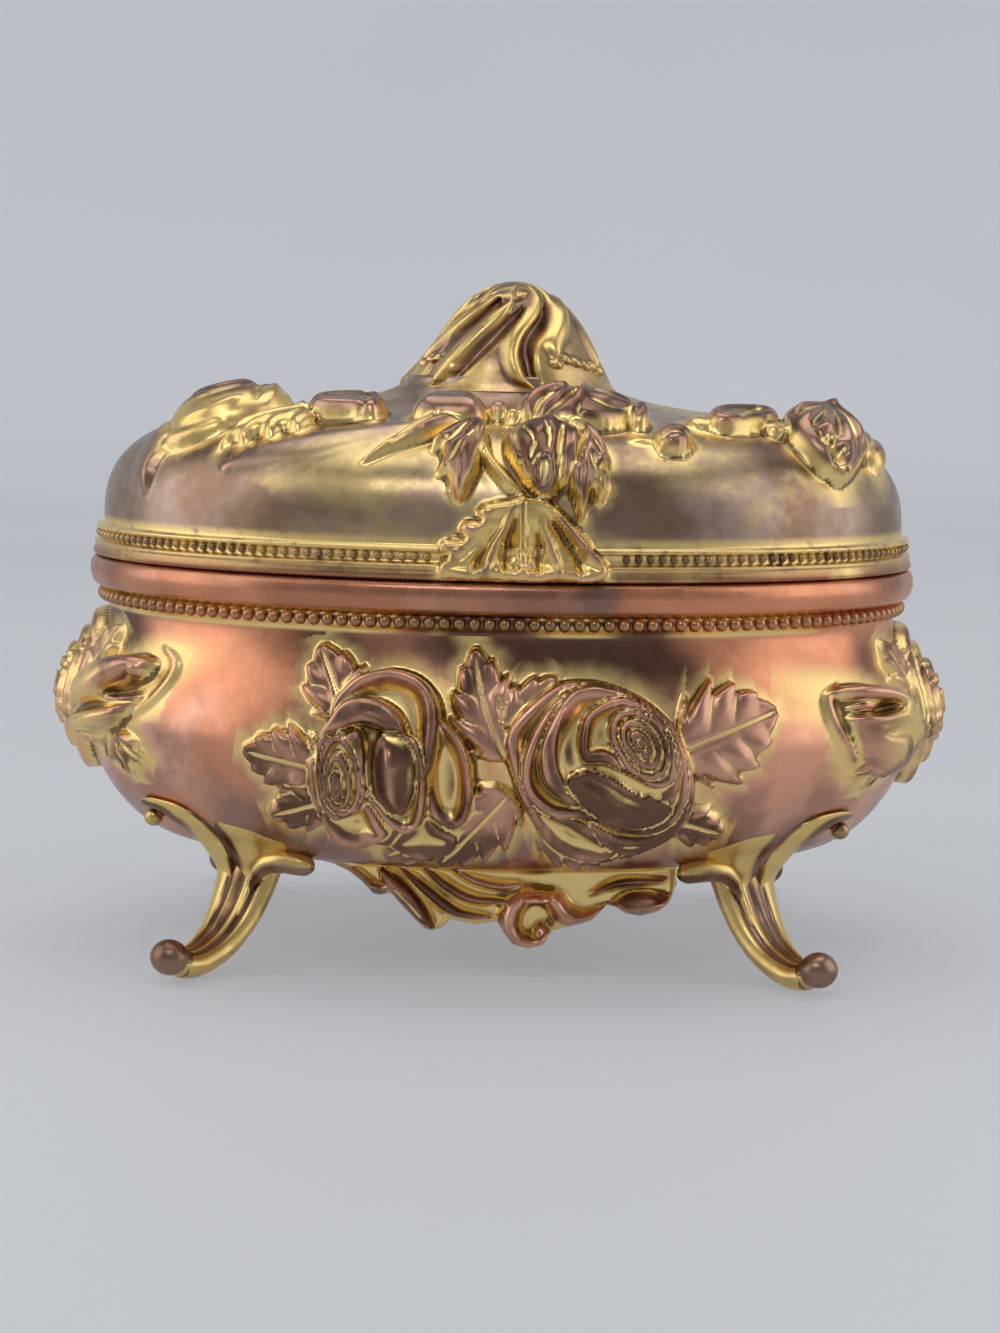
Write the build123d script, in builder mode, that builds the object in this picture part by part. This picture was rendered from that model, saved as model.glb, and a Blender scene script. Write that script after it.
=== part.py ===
from build123d import *
from math import acos, cos, pi, radians, sin, sqrt
import os

# A cast oval casket with a hinged domed lid, in millimetres.
# +Z is up, the front faces -Y, and the origin is on the floor under the middle of the case.

# Case
RIM_HALF_WIDTH = 57.6
RIM_HALF_DEPTH = 43.0
SEAM_HEIGHT = 53.5
BASE_HEIGHT = 14.8
BASE_INSET = 13.5
BELLY_HEIGHT = 32.0
BELLY_SWELL = 0.9
NECK_DROP = 2.8
NECK_INSET = 2.7
WALL = 2.0
CASE_FLOOR = 2.2
RIM_BAND_HEIGHT = 4.1
RIM_BAND_INSET = 1.1
BEAD_RING_DROP = 1.2
BEAD_RING_RADIUS = 1.0

# Lid
FLANGE_HEIGHT = 4.4
FLANGE_INSET = 0.5
DOME_INSET = 1.9
DOME_RISE = 16.6
CROWN_HALF_WIDTH = 30.0
CROWN_HALF_DEPTH = 17.0
FLARE_RISE = 4.7
FINIAL_SEAT_HALF_WIDTH = 13.4
FINIAL_SEAT_HALF_DEPTH = 12.0
LID_WALL = 1.8
LID_LEDGE_HEIGHT = 3.0
SEAM_GAP = 0.15

# Bud-shaped finial and its spigot through the crown of the lid
FINIAL_HEIGHT = 13.3
FINIAL_LEAN = 1.2
FINIAL_FOLDS = 5
FINIAL_FOLD_DEPTH = 0.07
FINIAL_TWIST = 70.0
FINIAL_RINGS = [(0.0, 12.4), (0.21, 10.7), (0.465, 8.3), (0.705, 6.2), (0.885, 3.9), (1.0, 1.3)]
SPIGOT_RADIUS = 3.0
SPIGOT_LENGTH = 3.4

# Feet, each a leg that leans outwards and curls up into a toe, with a knee that hugs the case
FOOT_SHARE_ACROSS = 0.7596
FOOT_SHARE_DEEP = 0.7627
FOOT_TURN = 56.0
TOE_REACH = 15.5
TOE_RISE = 3.4
TOE_RADIUS = 2.3
LEG_HALF_WIDTH = 5.1
LEG_HALF_THICKNESS = 2.8
LEG_RINGS = [
    (0.052, 0.649, 22, 0.4, 0.2), (0.206, 0.426, 40, 0.8, 0.4), (0.426, 0.23, 60, 1.4, 0.5),
]
SOLE_DEPTH = 0.3
KNEE_THICKNESS = 1.1
KNEE_INNER_REACH = 8.2
KNEE_OUTER_REACH = 13.6
KNEE_OUTER_LIFT = 6.2
VOLUTE_RADIUS = 2.2
KNOB_RADIUS = 1.3
KNOB_LIFT = 2.4

# Hinge
HINGE_LENGTH = 30.0
HINGE_KNUCKLES = 5
KNUCKLE_GAP = 0.3
BARREL_RADIUS = 1.5
PIN_RADIUS = 0.7
PIN_CLEARANCE = 0.05
LEAF_THICKNESS = 0.8
LEAF_HEIGHT = 7.0
LEAF_RELIEF = 0.4
BARREL_CLEARANCE = 0.2
HINGE_PAD_STANDOFF = 1.2
HINGE_PAD_MARGIN = 2.0
HINGE_PAD_HEIGHT = 7.6
SCREW_RADIUS = 0.65
SCREW_HEAD_RADIUS = 1.25
SCREW_HEAD_RISE = 0.6
SCREW_DEPTH = 2.2
SCREW_SPACING = 10.0
SCREW_CLEARANCE = 0.05
SCREW_DROP = 4.5
SLOT_WIDTH = 0.4
SLOT_DEPTH = 0.25
PIN_HEAD_LENGTH = 0.6

# Lining of silk over card and wadding
LINING_CLEARANCE = 0.25
CARD_THICKNESS = 1.4
CUSHION_THICKNESS = 4.6
WALL_LINING_THICKNESS = 1.9
WALL_LINING_TOP_GAP = 3.0
RIM_CORD_RADIUS = 0.9
LID_CORD_RADIUS = 0.6
PAD_THICKNESS = 3.6

# Relief of roses and leaves
RELIEF_ROOT = 1.6
ROSE_RISE = 4.6
PETAL_RINGS = [((0.93, 0.52), (0.74, 0.5)), ((0.63, 0.82), (0.46, 0.76)), ((0.34, 1.04), (0.16, 0.9))]
LEAF_RISE = 1.4
LEAF_DRAFT = 20.0
APRON_DROP = 10.8
APRON_THICKNESS = 3.0
APRON_STANDOFF = 1.6

# Places of the relief: how far across, and how far up the wall or the dome as a share of its height
CASE_ROSES = [(-12.9, 0.5, 10.8), (13.0, 0.475, 11.4)]
CASE_LEAVES = [
    (-20.8, 0.805, 9.5, 8.0, 110), (-1.2, 0.767, 14.0, 9.0, 105), (4.0, 0.777, 9.0, 7.0, 35),
    (29.6, 0.642, 13.5, 12.5, 19), (-27.6, 0.491, 11.0, 8.0, 178), (-25.4, 0.286, 9.5, 7.0, 200),
    (26.6, 0.239, 7.0, 6.0, -20), (-3.6, 0.22, 13.0, 9.5, 230), (9.9, 0.182, 12.0, 8.5, -18),
]
END_ROSE = (0.0, 0.635, 11.0, 5.0)
END_BUD = (-22.0, 0.619, 13.0, 10.0)
END_LEAVES = [(-17.0, 0.352, 11.0, 7.5, 160, 1.4), (-12.0, 0.887, 9.0, 6.5, -40, 1.0)]
LID_LEAVES = [
    (2.6, 0.187, 13.0, 15.0, 268, 1.8), (-6.0, 0.518, 10.5, 7.0, 215, 1.6), (9.5, 0.488, 10.5, 7.5, -40, 1.6),
]
LID_BUD = (2.2, 0.578, 11.0, 7.0, 80)

# Places of the shoulders' relief: how far across as a share of the rim's half width, and how deep
SHOULDER_ROSE = (-0.6684, -4.0, 7.0, 2.6)
SHOULDER_BUD = (0.7292, -3.0, 12.0, 6.5, -95)
SHOULDER_LEAVES = [(-0.4774, -8.0, 12.0, 7.0, 80, 1.5), (0.5556, -8.0, 12.0, 7.5, 80, 1.5)]

FLOOR_TOP = BASE_HEIGHT + CASE_FLOOR
RIM_BAND_BOTTOM = SEAM_HEIGHT - RIM_BAND_HEIGHT
BEAD_RING_HEIGHT = RIM_BAND_BOTTOM - BEAD_RING_DROP
NECK_HEIGHT = RIM_BAND_BOTTOM - NECK_DROP
FLANGE_TOP = SEAM_HEIGHT + FLANGE_HEIGHT
CROWN_HEIGHT = FLANGE_TOP + DOME_RISE
FINIAL_SEAT_HEIGHT = CROWN_HEIGHT + FLARE_RISE
FINIAL_TOP = FINIAL_SEAT_HEIGHT + FINIAL_HEIGHT
LID_BOTTOM = SEAM_HEIGHT + SEAM_GAP
LEDGE = SEAM_HEIGHT + LID_LEDGE_HEIGHT
FOOT_X = FOOT_SHARE_ACROSS * (RIM_HALF_WIDTH - BASE_INSET)
FOOT_Y = FOOT_SHARE_DEEP * (RIM_HALF_DEPTH - BASE_INSET)
PAD_FACE_Y = RIM_HALF_DEPTH + HINGE_PAD_STANDOFF
HINGE_Y = PAD_FACE_Y + BARREL_CLEARANCE + BARREL_RADIUS
HINGE_Z = SEAM_HEIGHT + SEAM_GAP / 2
CAVITY_INSET = NECK_INSET + WALL


def case_offset(z):
    """How far the outside of the case stands beyond the rim's oval at a height."""
    if z < BELLY_HEIGHT:
        fall = (BELLY_HEIGHT - z) / (BELLY_HEIGHT - BASE_HEIGHT)
        return BELLY_SWELL - (BELLY_SWELL + BASE_INSET) * (1 - sqrt(max(0.0, 1 - fall**1.5)))
    rise = (z - BELLY_HEIGHT) / (NECK_HEIGHT - BELLY_HEIGHT)
    return BELLY_SWELL - (BELLY_SWELL + NECK_INSET) * (0.5 - 0.5 * cos(pi * min(rise, 1.0)))


def case_level(z, grow=0.0):
    """Height and half axes of the case's oval at a height, grown or shrunk sideways."""
    return z, RIM_HALF_WIDTH + case_offset(z) + grow, RIM_HALF_DEPTH + case_offset(z) + grow


def rim_oval(inset):
    """Half axes of the rim's oval, drawn in by an inset."""
    return RIM_HALF_WIDTH - inset, RIM_HALF_DEPTH - inset


def rim_level(z, grow):
    """Height and half axes of the rim's oval, grown sideways."""
    return z, *rim_oval(-grow)


def case_levels(low, high, grow=0.0):
    """The case's ovals from low to high, closer together near the base, where it curves most."""
    steps = 12
    return [case_level(low + (high - low) * (i / steps) ** 1.5, grow) for i in range(steps + 1)]


def lid_levels(shrink=0.0):
    """Ovals of the dome from the flange's top to the finial's seat, inset by shrink."""
    dome = []
    for share in (0.0, 0.2, 0.4, 0.58, 0.72, 0.84, 0.92, 0.975):
        across = sqrt(1 - share**3)
        dome.append((
            FLANGE_TOP + (CROWN_HEIGHT - shrink - FLANGE_TOP) * share,
            CROWN_HALF_WIDTH + (RIM_HALF_WIDTH - DOME_INSET - shrink - CROWN_HALF_WIDTH) * across,
            CROWN_HALF_DEPTH + (RIM_HALF_DEPTH - DOME_INSET - shrink - CROWN_HALF_DEPTH) * across,
        ))
    flare = []
    for share in (0.2, 0.4, 0.6, 0.8, 0.93, 1.0):
        climb = 1 - sqrt(1 - share**1.4)
        flare.append((
            CROWN_HEIGHT - shrink + (FINIAL_SEAT_HEIGHT - CROWN_HEIGHT) * climb,
            CROWN_HALF_WIDTH + (FINIAL_SEAT_HALF_WIDTH - shrink - CROWN_HALF_WIDTH) * share,
            CROWN_HALF_DEPTH + (FINIAL_SEAT_HALF_DEPTH - shrink - CROWN_HALF_DEPTH) * share,
        ))
    return dome + flare


def ovals(levels):
    """Flat ovals given as height and two half axes, ready to loft."""
    faces = []
    for z, half_width, half_depth in levels:
        with BuildSketch(Plane.XY.offset(z)) as oval:
            Ellipse(half_width, half_depth)
        faces.append(oval.sketch.face())
    return faces


def oval_loft(levels, mode=Mode.ADD):
    """Lofts a smooth solid through ovals given as height and two half axes."""
    loft(ovals(levels), mode=mode)


def oval_block(low, high, half_width, half_depth, mode=Mode.ADD):
    """A straight oval block from one height to another."""
    extrude(ovals([(low, half_width, half_depth)])[0], amount=high - low, dir=(0, 0, 1), mode=mode)


def seat_on(form, start, direction):
    """The plane that touches a form where a ray from start first meets it, its x level."""
    point, normal = form.part.shell().find_intersection_points(Axis(start, direction))[0]
    outward = normal if normal.dot(Vector(direction)) < 0 else normal * -1
    return Plane(origin=point, x_dir=Vector(0, 0, 1).cross(outward), z_dir=outward)


def turned(seat, turn, lift=0.0):
    """The seat turned about its own normal and lifted along it."""
    return Plane(seat.location * Location((0, 0, lift), (0, 0, turn)))


def rose(seat, radius, rise):
    """Three rings of petals around a heart, turned about the seat's normal."""
    with BuildSketch(Plane(origin=seat.origin, x_dir=seat.x_dir, z_dir=seat.y_dir * -1)) as profile:
        with BuildLine():
            Polyline((0, rise), (0, -RELIEF_ROOT), (radius, -RELIEF_ROOT), (radius, 0))
            start = (radius, 0)
            for crest, valley in PETAL_RINGS:
                swell = (crest[0] * radius, crest[1] * rise)
                stop = (valley[0] * radius, valley[1] * rise)
                ThreePointArc(start, swell, stop)
                start = stop
            Line(start, (0, rise))
        make_face()
    revolve(profile.sketch, axis=Axis(seat.origin, seat.z_dir))


def leaf(seat, length, width, turn, rise=LEAF_RISE):
    """A pointed leaf with drafted sides, its tip turned from the seat's level direction."""
    with BuildSketch(turned(seat, turn, -RELIEF_ROOT)) as outline:
        with BuildLine():
            ThreePointArc((-length / 2, 0), (-0.1 * length, -width / 2), (length / 2, 0))
            ThreePointArc((length / 2, 0), (-0.1 * length, width / 2), (-length / 2, 0))
        make_face()
    extrude(outline.sketch, amount=RELIEF_ROOT + rise, taper=LEAF_DRAFT)


def bud(seat, length, width, turn):
    """A closed rosebud: a ball drawn out to a point, lying half sunk on the seat."""
    lie = turned(seat, turn)
    ball = width / 2
    heel = ball - length / 2
    swing = acos(ball / (length - ball))
    shoulder = (heel + ball * cos(swing), ball * sin(swing))
    with BuildSketch(lie) as half:
        with BuildLine():
            Polyline(shoulder, (length / 2, 0), (heel - ball, 0))
            middle = (pi + swing) / 2
            ThreePointArc((heel - ball, 0), (heel + ball * cos(middle), ball * sin(middle)), shoulder)
        make_face()
    revolve(half.sketch, axis=Axis(lie.origin, lie.x_dir))


def crowned(base, thickness, half_width, half_depth):
    """A padded oval, flat on its base, with rounded sides and a crown; thickness is negative to hang it."""
    side = 0.42 * thickness
    with BuildSketch(Plane.XZ) as profile:
        with BuildLine():
            Polyline((0, base + thickness), (0, base), (half_width - 0.5 * abs(side), base))
            ThreePointArc(
                (half_width - 0.5 * abs(side), base), (half_width, base + 0.5 * side),
                (half_width - 0.6 * abs(side), base + side),
            )
            Spline(
                (half_width - 0.6 * abs(side), base + side), (0.6 * half_width, base + 0.86 * thickness),
                (0, base + thickness), tangents=((-1, 0.35 * thickness / abs(thickness)), (-1, 0)),
            )
        make_face()
    round_form = revolve(profile.sketch, axis=Axis.Z, mode=Mode.PRIVATE)
    add(scale(round_form, by=(1, half_depth / half_width, 1), mode=Mode.PRIVATE))


def hinge_pad(low, high):
    """A flat boss across the back that a hinge leaf is screwed to."""
    root = RIM_HALF_DEPTH / 2
    with BuildSketch(Plane.XY.offset(low)) as plan:
        with Locations((0, PAD_FACE_Y - root / 2)):
            Rectangle(HINGE_LENGTH + 2 * HINGE_PAD_MARGIN, root)
    extrude(plan.sketch, amount=high - low)


def screw_places(z):
    """Where the hinge screws enter a face, in a plane whose x is east and y is up."""
    return [(x, z) for x in (-SCREW_SPACING, 0, SCREW_SPACING)]


def behind(y):
    """An upright plane at y with x east and y up, whose normal faces the front."""
    return Plane((0, y, 0), x_dir=(1, 0, 0), z_dir=(0, -1, 0))


def screw_holes(z, depth, face_y):
    """Round holes for the hinge screws, from a face towards the front."""
    with BuildSketch(behind(face_y)) as holes:
        with Locations(*screw_places(z)):
            Circle(SCREW_RADIUS + SCREW_CLEARANCE)
    extrude(holes.sketch, amount=depth, mode=Mode.SUBTRACT)


def front(x, z):
    """A ray from the front at a place across and up."""
    return (x, -2 * RIM_HALF_WIDTH, z), (0, 1, 0)


def top(x, y):
    """A ray from above at a place across and deep."""
    return (x, y, 2 * FINIAL_TOP), (0, 0, -1)


def end(side, y, z):
    """A ray from beyond one end, side being -1 for the left and 1 for the right."""
    return (side * 2 * RIM_HALF_WIDTH, y, z), (-side, 0, 0)


def up_wall(share):
    """A height on the case's wall, as a share of the way from its base to its neck."""
    return BASE_HEIGHT + share * (NECK_HEIGHT - BASE_HEIGHT)


def up_dome(share):
    """A height on the lid's dome, as a share of the way from its flange to its crown."""
    return FLANGE_TOP + share * DOME_RISE


# The outside of the case before its relief: reliefs are seated on it and the feet are cut to it
with BuildPart() as case_form:
    oval_loft(case_levels(BASE_HEIGHT, NECK_HEIGHT))

# The outside of the lid before its relief
with BuildPart() as lid_form:
    oval_loft(lid_levels())

# Front relief of the case: two full roses with leaves around them
with BuildPart() as case_spray:
    for x, share, radius in CASE_ROSES:
        rose(seat_on(case_form, *front(x, up_wall(share))), radius, ROSE_RISE)
    for x, share, length, width, turn in CASE_LEAVES:
        leaf(seat_on(case_form, *front(x, up_wall(share))), length, width, turn)

# Relief at each end of the case: an open rose, with a bud and leaves towards the front
with BuildPart() as end_sprays:
    for side in (-1, 1):
        y, share, radius, rise = END_ROSE
        rose(seat_on(case_form, *end(side, y, up_wall(share))), radius, rise)
        y, share, length, width = END_BUD
        bud(seat_on(case_form, *end(side, y, up_wall(share))), length, width, 90 - side * 25)
        for y, share, length, width, turn, rise in END_LEAVES:
            leaf(seat_on(case_form, *end(side, y, up_wall(share))), length, width, 90 + side * turn, rise)

# Scrolled apron under the front edge, bent to the curve of the base
with BuildPart() as apron:
    with BuildSketch(Plane((0, 0, BASE_HEIGHT), x_dir=(1, 0, 0), z_dir=(0, -1, 0))) as scrolls:
        with BuildLine():
            Polyline((23.8, -3.0), (24.2, CASE_FLOOR / 2), (-23.6, CASE_FLOOR / 2), (-23.6, 0))
            ThreePointArc((-23.6, 0), (-19.5, -1.4), (-16.4, -3.9))
            Polyline((-16.4, -3.9), (-14.0, -3.9), (-9.8, -8.0))
            ThreePointArc((-9.8, -8.0), (-8.2, -8.7), (-6.2, -7.2))
            ThreePointArc((-6.2, -7.2), (-2.8, -7.8), (0.4, -7.0))
            ThreePointArc((0.4, -7.0), (4.2, -APRON_DROP), (7.6, -8.2))
            ThreePointArc((7.6, -8.2), (11.2, -7.8), (14.8, -4.8))
            ThreePointArc((14.8, -4.8), (19.3, -6.7), (23.8, -3.0))
        make_face()
    extrude(scrolls.sketch, amount=RIM_HALF_DEPTH)
    ring = ovals([
        (0, *case_level(BASE_HEIGHT, APRON_STANDOFF)[1:]),
        (0, *case_level(BASE_HEIGHT, APRON_STANDOFF - APRON_THICKNESS)[1:]),
    ])
    extrude(ring[0] - ring[1], amount=FLOOR_TOP, mode=Mode.INTERSECT)

# Case: one hollow casting with its reliefs, apron, rim band and hinge pad
with BuildPart() as body_shell:
    add(case_form)
    oval_loft([
        rim_level(NECK_HEIGHT, -NECK_INSET),
        rim_level(RIM_BAND_BOTTOM, -RIM_BAND_INSET - BEAD_RING_RADIUS),
    ])
    oval_loft([
        rim_level(BEAD_RING_HEIGHT - BEAD_RING_RADIUS, -NECK_INSET),
        rim_level(BEAD_RING_HEIGHT, BEAD_RING_RADIUS - NECK_INSET),
        rim_level(BEAD_RING_HEIGHT + BEAD_RING_RADIUS, -NECK_INSET),
    ])
    oval_loft([
        rim_level(RIM_BAND_BOTTOM, -RIM_BAND_INSET),
        rim_level((RIM_BAND_BOTTOM + SEAM_HEIGHT) / 2, 0),
        rim_level(SEAM_HEIGHT, -RIM_BAND_INSET / 2),
    ])
    hinge_pad(SEAM_HEIGHT - HINGE_PAD_HEIGHT, SEAM_HEIGHT)
    for turn in (0, 180):
        add(case_spray, rotation=(0, 0, turn))
        add(apron, rotation=(0, 0, turn))
    add(end_sprays)
    oval_loft(case_levels(FLOOR_TOP, NECK_HEIGHT, -WALL), mode=Mode.SUBTRACT)
    oval_block(NECK_HEIGHT, SEAM_HEIGHT, *rim_oval(CAVITY_INSET), mode=Mode.SUBTRACT)
    screw_holes(SEAM_HEIGHT - SCREW_DROP, SCREW_DEPTH, PAD_FACE_Y)
body_shell.part.label = "body_shell"


# Front relief of the lid: a leaf hanging over the seam, two side leaves and a bud, and a rose above them
with BuildPart() as lid_spray:
    for x, share, length, width, turn, rise in LID_LEAVES:
        leaf(seat_on(lid_form, *front(x, up_dome(share))), length, width, turn, rise)
    x, share, length, width, turn = LID_BUD
    bud(seat_on(lid_form, *front(x, up_dome(share))), length, width, turn)
    rose(seat_on(lid_form, *top(8.0, -29.0)), 7.6, 3.4)
    leaf(seat_on(lid_form, *top(-6.5, -26.5)), 14.0, 6.5, 178, 1.8)
    leaf(seat_on(lid_form, *top(20.0, -27.5)), 7.0, 5.0, -10, 1.2)

# Relief on the lid's two shoulders: a rose and a leaf on the left, a bud and a leaf on the right
with BuildPart() as shoulder_sprays:
    share, y, radius, rise = SHOULDER_ROSE
    rose(seat_on(lid_form, *top(share * RIM_HALF_WIDTH, y)), radius, rise)
    share, y, length, width, turn = SHOULDER_BUD
    bud(seat_on(lid_form, *top(share * RIM_HALF_WIDTH, y)), length, width, turn)
    for share, y, length, width, turn, rise in SHOULDER_LEAVES:
        leaf(seat_on(lid_form, *top(share * RIM_HALF_WIDTH, y)), length, width, turn, rise)

# Lid: a hollow domed casting with a beaded flange, an inner ledge and its own hinge pad
with BuildPart() as lid_shell:
    add(lid_form)
    oval_block(LID_BOTTOM, FLANGE_TOP - FLANGE_INSET, *rim_oval(FLANGE_INSET))
    oval_loft([
        rim_level(FLANGE_TOP - FLANGE_INSET, -FLANGE_INSET),
        rim_level(FLANGE_TOP, -2 * FLANGE_INSET),
    ])
    hinge_pad(LID_BOTTOM, SEAM_HEIGHT + HINGE_PAD_HEIGHT)
    add(lid_spray)
    add(shoulder_sprays)
    oval_loft(lid_levels(LID_WALL), mode=Mode.SUBTRACT)
    oval_block(LEDGE, FLANGE_TOP, *rim_oval(DOME_INSET + LID_WALL), mode=Mode.SUBTRACT)
    oval_block(SEAM_HEIGHT, LEDGE, *rim_oval(FLANGE_INSET + LID_WALL), mode=Mode.SUBTRACT)
    screw_holes(SEAM_HEIGHT + SCREW_DROP, SCREW_DEPTH, PAD_FACE_Y)
    with Locations((0, 0, FINIAL_SEAT_HEIGHT - LID_WALL)):
        Cylinder(SPIGOT_RADIUS + LID_WALL, LID_WALL, align=(Align.CENTER, Align.CENTER, Align.MAX))
    with Locations((0, 0, FINIAL_SEAT_HEIGHT)):
        Hole(SPIGOT_RADIUS + LINING_CLEARANCE / 2)
lid_shell.part.label = "lid_shell"

# Feet: one leg is made for the left front and mirrored to the other corners
outwards = (-cos(radians(FOOT_TURN)), -sin(radians(FOOT_TURN)), 0)
foot_frame = Plane((-FOOT_X, -FOOT_Y, 0), x_dir=outwards, z_dir=(0, 0, 1))


def leg_section(reach, rise, tilt, half_width, half_thickness):
    """An oval across the leg's line, at a place outwards and up, its normal tilted from straight down."""
    place = foot_frame.location * Location((reach, 0, rise), (0, 180 - tilt, 0))
    with BuildSketch(Plane(place)) as section:
        Ellipse(half_thickness, half_width)
    return section.sketch.face()


with BuildPart() as foot:
    sections = [
        leg_section(-1.2, FLOOR_TOP, 0, LEG_HALF_WIDTH + 1.2, LEG_HALF_THICKNESS + 1.0),
        leg_section(-0.8, 0.878 * BASE_HEIGHT, 5, LEG_HALF_WIDTH, LEG_HALF_THICKNESS),
    ]
    for reach, rise, tilt, narrower, thinner in LEG_RINGS:
        half_width = LEG_HALF_WIDTH - narrower
        half_thickness = LEG_HALF_THICKNESS - thinner
        sections.append(leg_section(reach * TOE_REACH, rise * BASE_HEIGHT, tilt, half_width, half_thickness))
    sole_half_thickness = LEG_HALF_THICKNESS - 0.6
    sole_middle = sole_half_thickness - SOLE_DEPTH
    sections += [
        leg_section(0.684 * TOE_REACH, sole_middle, 84, LEG_HALF_WIDTH - 2.2, sole_half_thickness),
        leg_section(TOE_REACH - 1.0, TOE_RISE - 1.0, 112, TOE_RADIUS - 0.5, TOE_RADIUS - 0.9),
    ]
    loft(sections)
    with Locations(foot_frame.location * Location((TOE_REACH, 0, TOE_RISE))):
        Sphere(TOE_RADIUS)

# The knee is a shell of even thickness round the case's corner, cut to a winged outline
with BuildPart() as knee:
    oval_loft(case_levels(BASE_HEIGHT, BELLY_HEIGHT, KNEE_THICKNESS))
    with BuildSketch(Plane(foot_frame.origin, x_dir=foot_frame.y_dir, z_dir=foot_frame.x_dir)) as wings:
        with BuildLine():
            outer_tip = (-KNEE_OUTER_REACH, BASE_HEIGHT + KNEE_OUTER_LIFT)
            inner_tip = (KNEE_INNER_REACH, FLOOR_TOP)
            knob_corner = (-KNEE_OUTER_REACH, BASE_HEIGHT + KNOB_LIFT)
            Polyline(outer_tip, knob_corner, (-LEG_HALF_WIDTH, BASE_HEIGHT - 1))
            Polyline((-LEG_HALF_WIDTH, BASE_HEIGHT - 1), (KNEE_INNER_REACH, BASE_HEIGHT - 1), inner_tip)
            ThreePointArc(inner_tip, (-3.0, FLOOR_TOP + 0.6), outer_tip)
        make_face()
    extrude(wings.sketch, amount=RIM_HALF_WIDTH, mode=Mode.INTERSECT)
    with Locations(foot_frame.location * Location((0, KNEE_INNER_REACH, BASE_HEIGHT))):
        Sphere(VOLUTE_RADIUS)
    with Locations(foot_frame.location * Location((KNOB_RADIUS, -KNEE_OUTER_REACH, BASE_HEIGHT + KNOB_LIFT))):
        Sphere(KNOB_RADIUS)

with BuildPart() as foot_front_left:
    add(foot)
    add(knee)
    add(case_form, mode=Mode.SUBTRACT)
    split(bisect_by=Plane.XY, keep=Keep.TOP)

feet = {
    "foot_front_left": foot_front_left.part,
    "foot_front_right": foot_front_left.part.mirror(Plane.YZ),
    "foot_rear_left": foot_front_left.part.mirror(Plane.XZ),
    "foot_rear_right": foot_front_left.part.rotate(Axis.Z, 180),
}


# Finial: a half-open bud with twisting folds on the lid's crown, held by a spigot
def finial_section(z, half_width, lean, turn):
    """A wavy closed outline: the bud's folds at a height, leaning aside and turned."""
    waves = 2 * FINIAL_FOLDS
    points = []
    for i in range(waves):
        radius = half_width * (1 + FINIAL_FOLD_DEPTH * (1 if i % 2 else -1))
        angle = radians(turn + 360 * i / waves)
        points.append((lean + radius * cos(angle), radius * sin(angle)))
    with BuildSketch(Plane.XY.offset(z)) as section:
        with BuildLine():
            Spline(*points, periodic=True)
        make_face()
    return section.sketch.face()


with BuildPart() as lid_finial:
    rings = []
    for share, half_width in FINIAL_RINGS:
        lean = FINIAL_LEAN * min(1.0, 0.25 + 1.6 * share)
        rings.append(
            finial_section(FINIAL_SEAT_HEIGHT + share * FINIAL_HEIGHT, half_width, lean, share * FINIAL_TWIST)
        )
    loft(rings)
    with Locations((0, 0, FINIAL_SEAT_HEIGHT)):
        Cylinder(SPIGOT_RADIUS, SPIGOT_LENGTH, align=(Align.CENTER, Align.CENTER, Align.MAX))
lid_finial.part.label = "lid_finial"


# Hinge: two leaves with interleaved knuckles on one pin, behind the seam
PITCH = HINGE_LENGTH / HINGE_KNUCKLES


def knuckle_places(first):
    """Middles of every other knuckle, starting with the first or second from the left."""
    return [-HINGE_LENGTH / 2 + PITCH * (i + 0.5) for i in range(first, HINGE_KNUCKLES, 2)]


def hinge_leaf(first, side):
    """A leaf below (side -1) or above (side 1) the seam, with its own knuckles and bore."""
    far = HINGE_Z + side * LEAF_HEIGHT
    near = HINGE_Z + side * (BARREL_RADIUS + LEAF_RELIEF)
    with BuildSketch(behind(PAD_FACE_Y)) as plate:
        with Locations((0, (far + near) / 2)):
            Rectangle(HINGE_LENGTH, abs(far - near))
        for x in knuckle_places(first):
            with Locations((x, (near + HINGE_Z) / 2)):
                Rectangle(PITCH - KNUCKLE_GAP, abs(near - HINGE_Z))
    extrude(plate.sketch, amount=-LEAF_THICKNESS)
    for x in knuckle_places(first):
        with Locations(Location((x, HINGE_Y, HINGE_Z), (0, 90, 0))):
            Cylinder(BARREL_RADIUS, PITCH - KNUCKLE_GAP)
    with Locations(Location((0, HINGE_Y, HINGE_Z), (0, 90, 0))):
        Cylinder(PIN_RADIUS + PIN_CLEARANCE, 2 * HINGE_LENGTH, mode=Mode.SUBTRACT)
    screw_holes(SEAM_HEIGHT + side * SCREW_DROP, LEAF_THICKNESS, PAD_FACE_Y + LEAF_THICKNESS)


with BuildPart() as hinge_leaf_case:
    hinge_leaf(0, -1)
hinge_leaf_case.part.label = "hinge_leaf_case"

with BuildPart() as hinge_leaf_lid:
    hinge_leaf(1, 1)
hinge_leaf_lid.part.label = "hinge_leaf_lid"

with BuildPart() as hinge_pin:
    with Locations(Location((0, HINGE_Y, HINGE_Z), (0, 90, 0))):
        Cylinder(PIN_RADIUS, HINGE_LENGTH + 2 * PIN_HEAD_LENGTH)
    for side in (-1, 1):
        with Locations(Location((side * (HINGE_LENGTH + PIN_HEAD_LENGTH) / 2, HINGE_Y, HINGE_Z), (0, 90, 0))):
            Cylinder(PIN_RADIUS + 2 * PIN_CLEARANCE + 0.1, PIN_HEAD_LENGTH)
hinge_pin.part.label = "hinge_pin"


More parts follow.
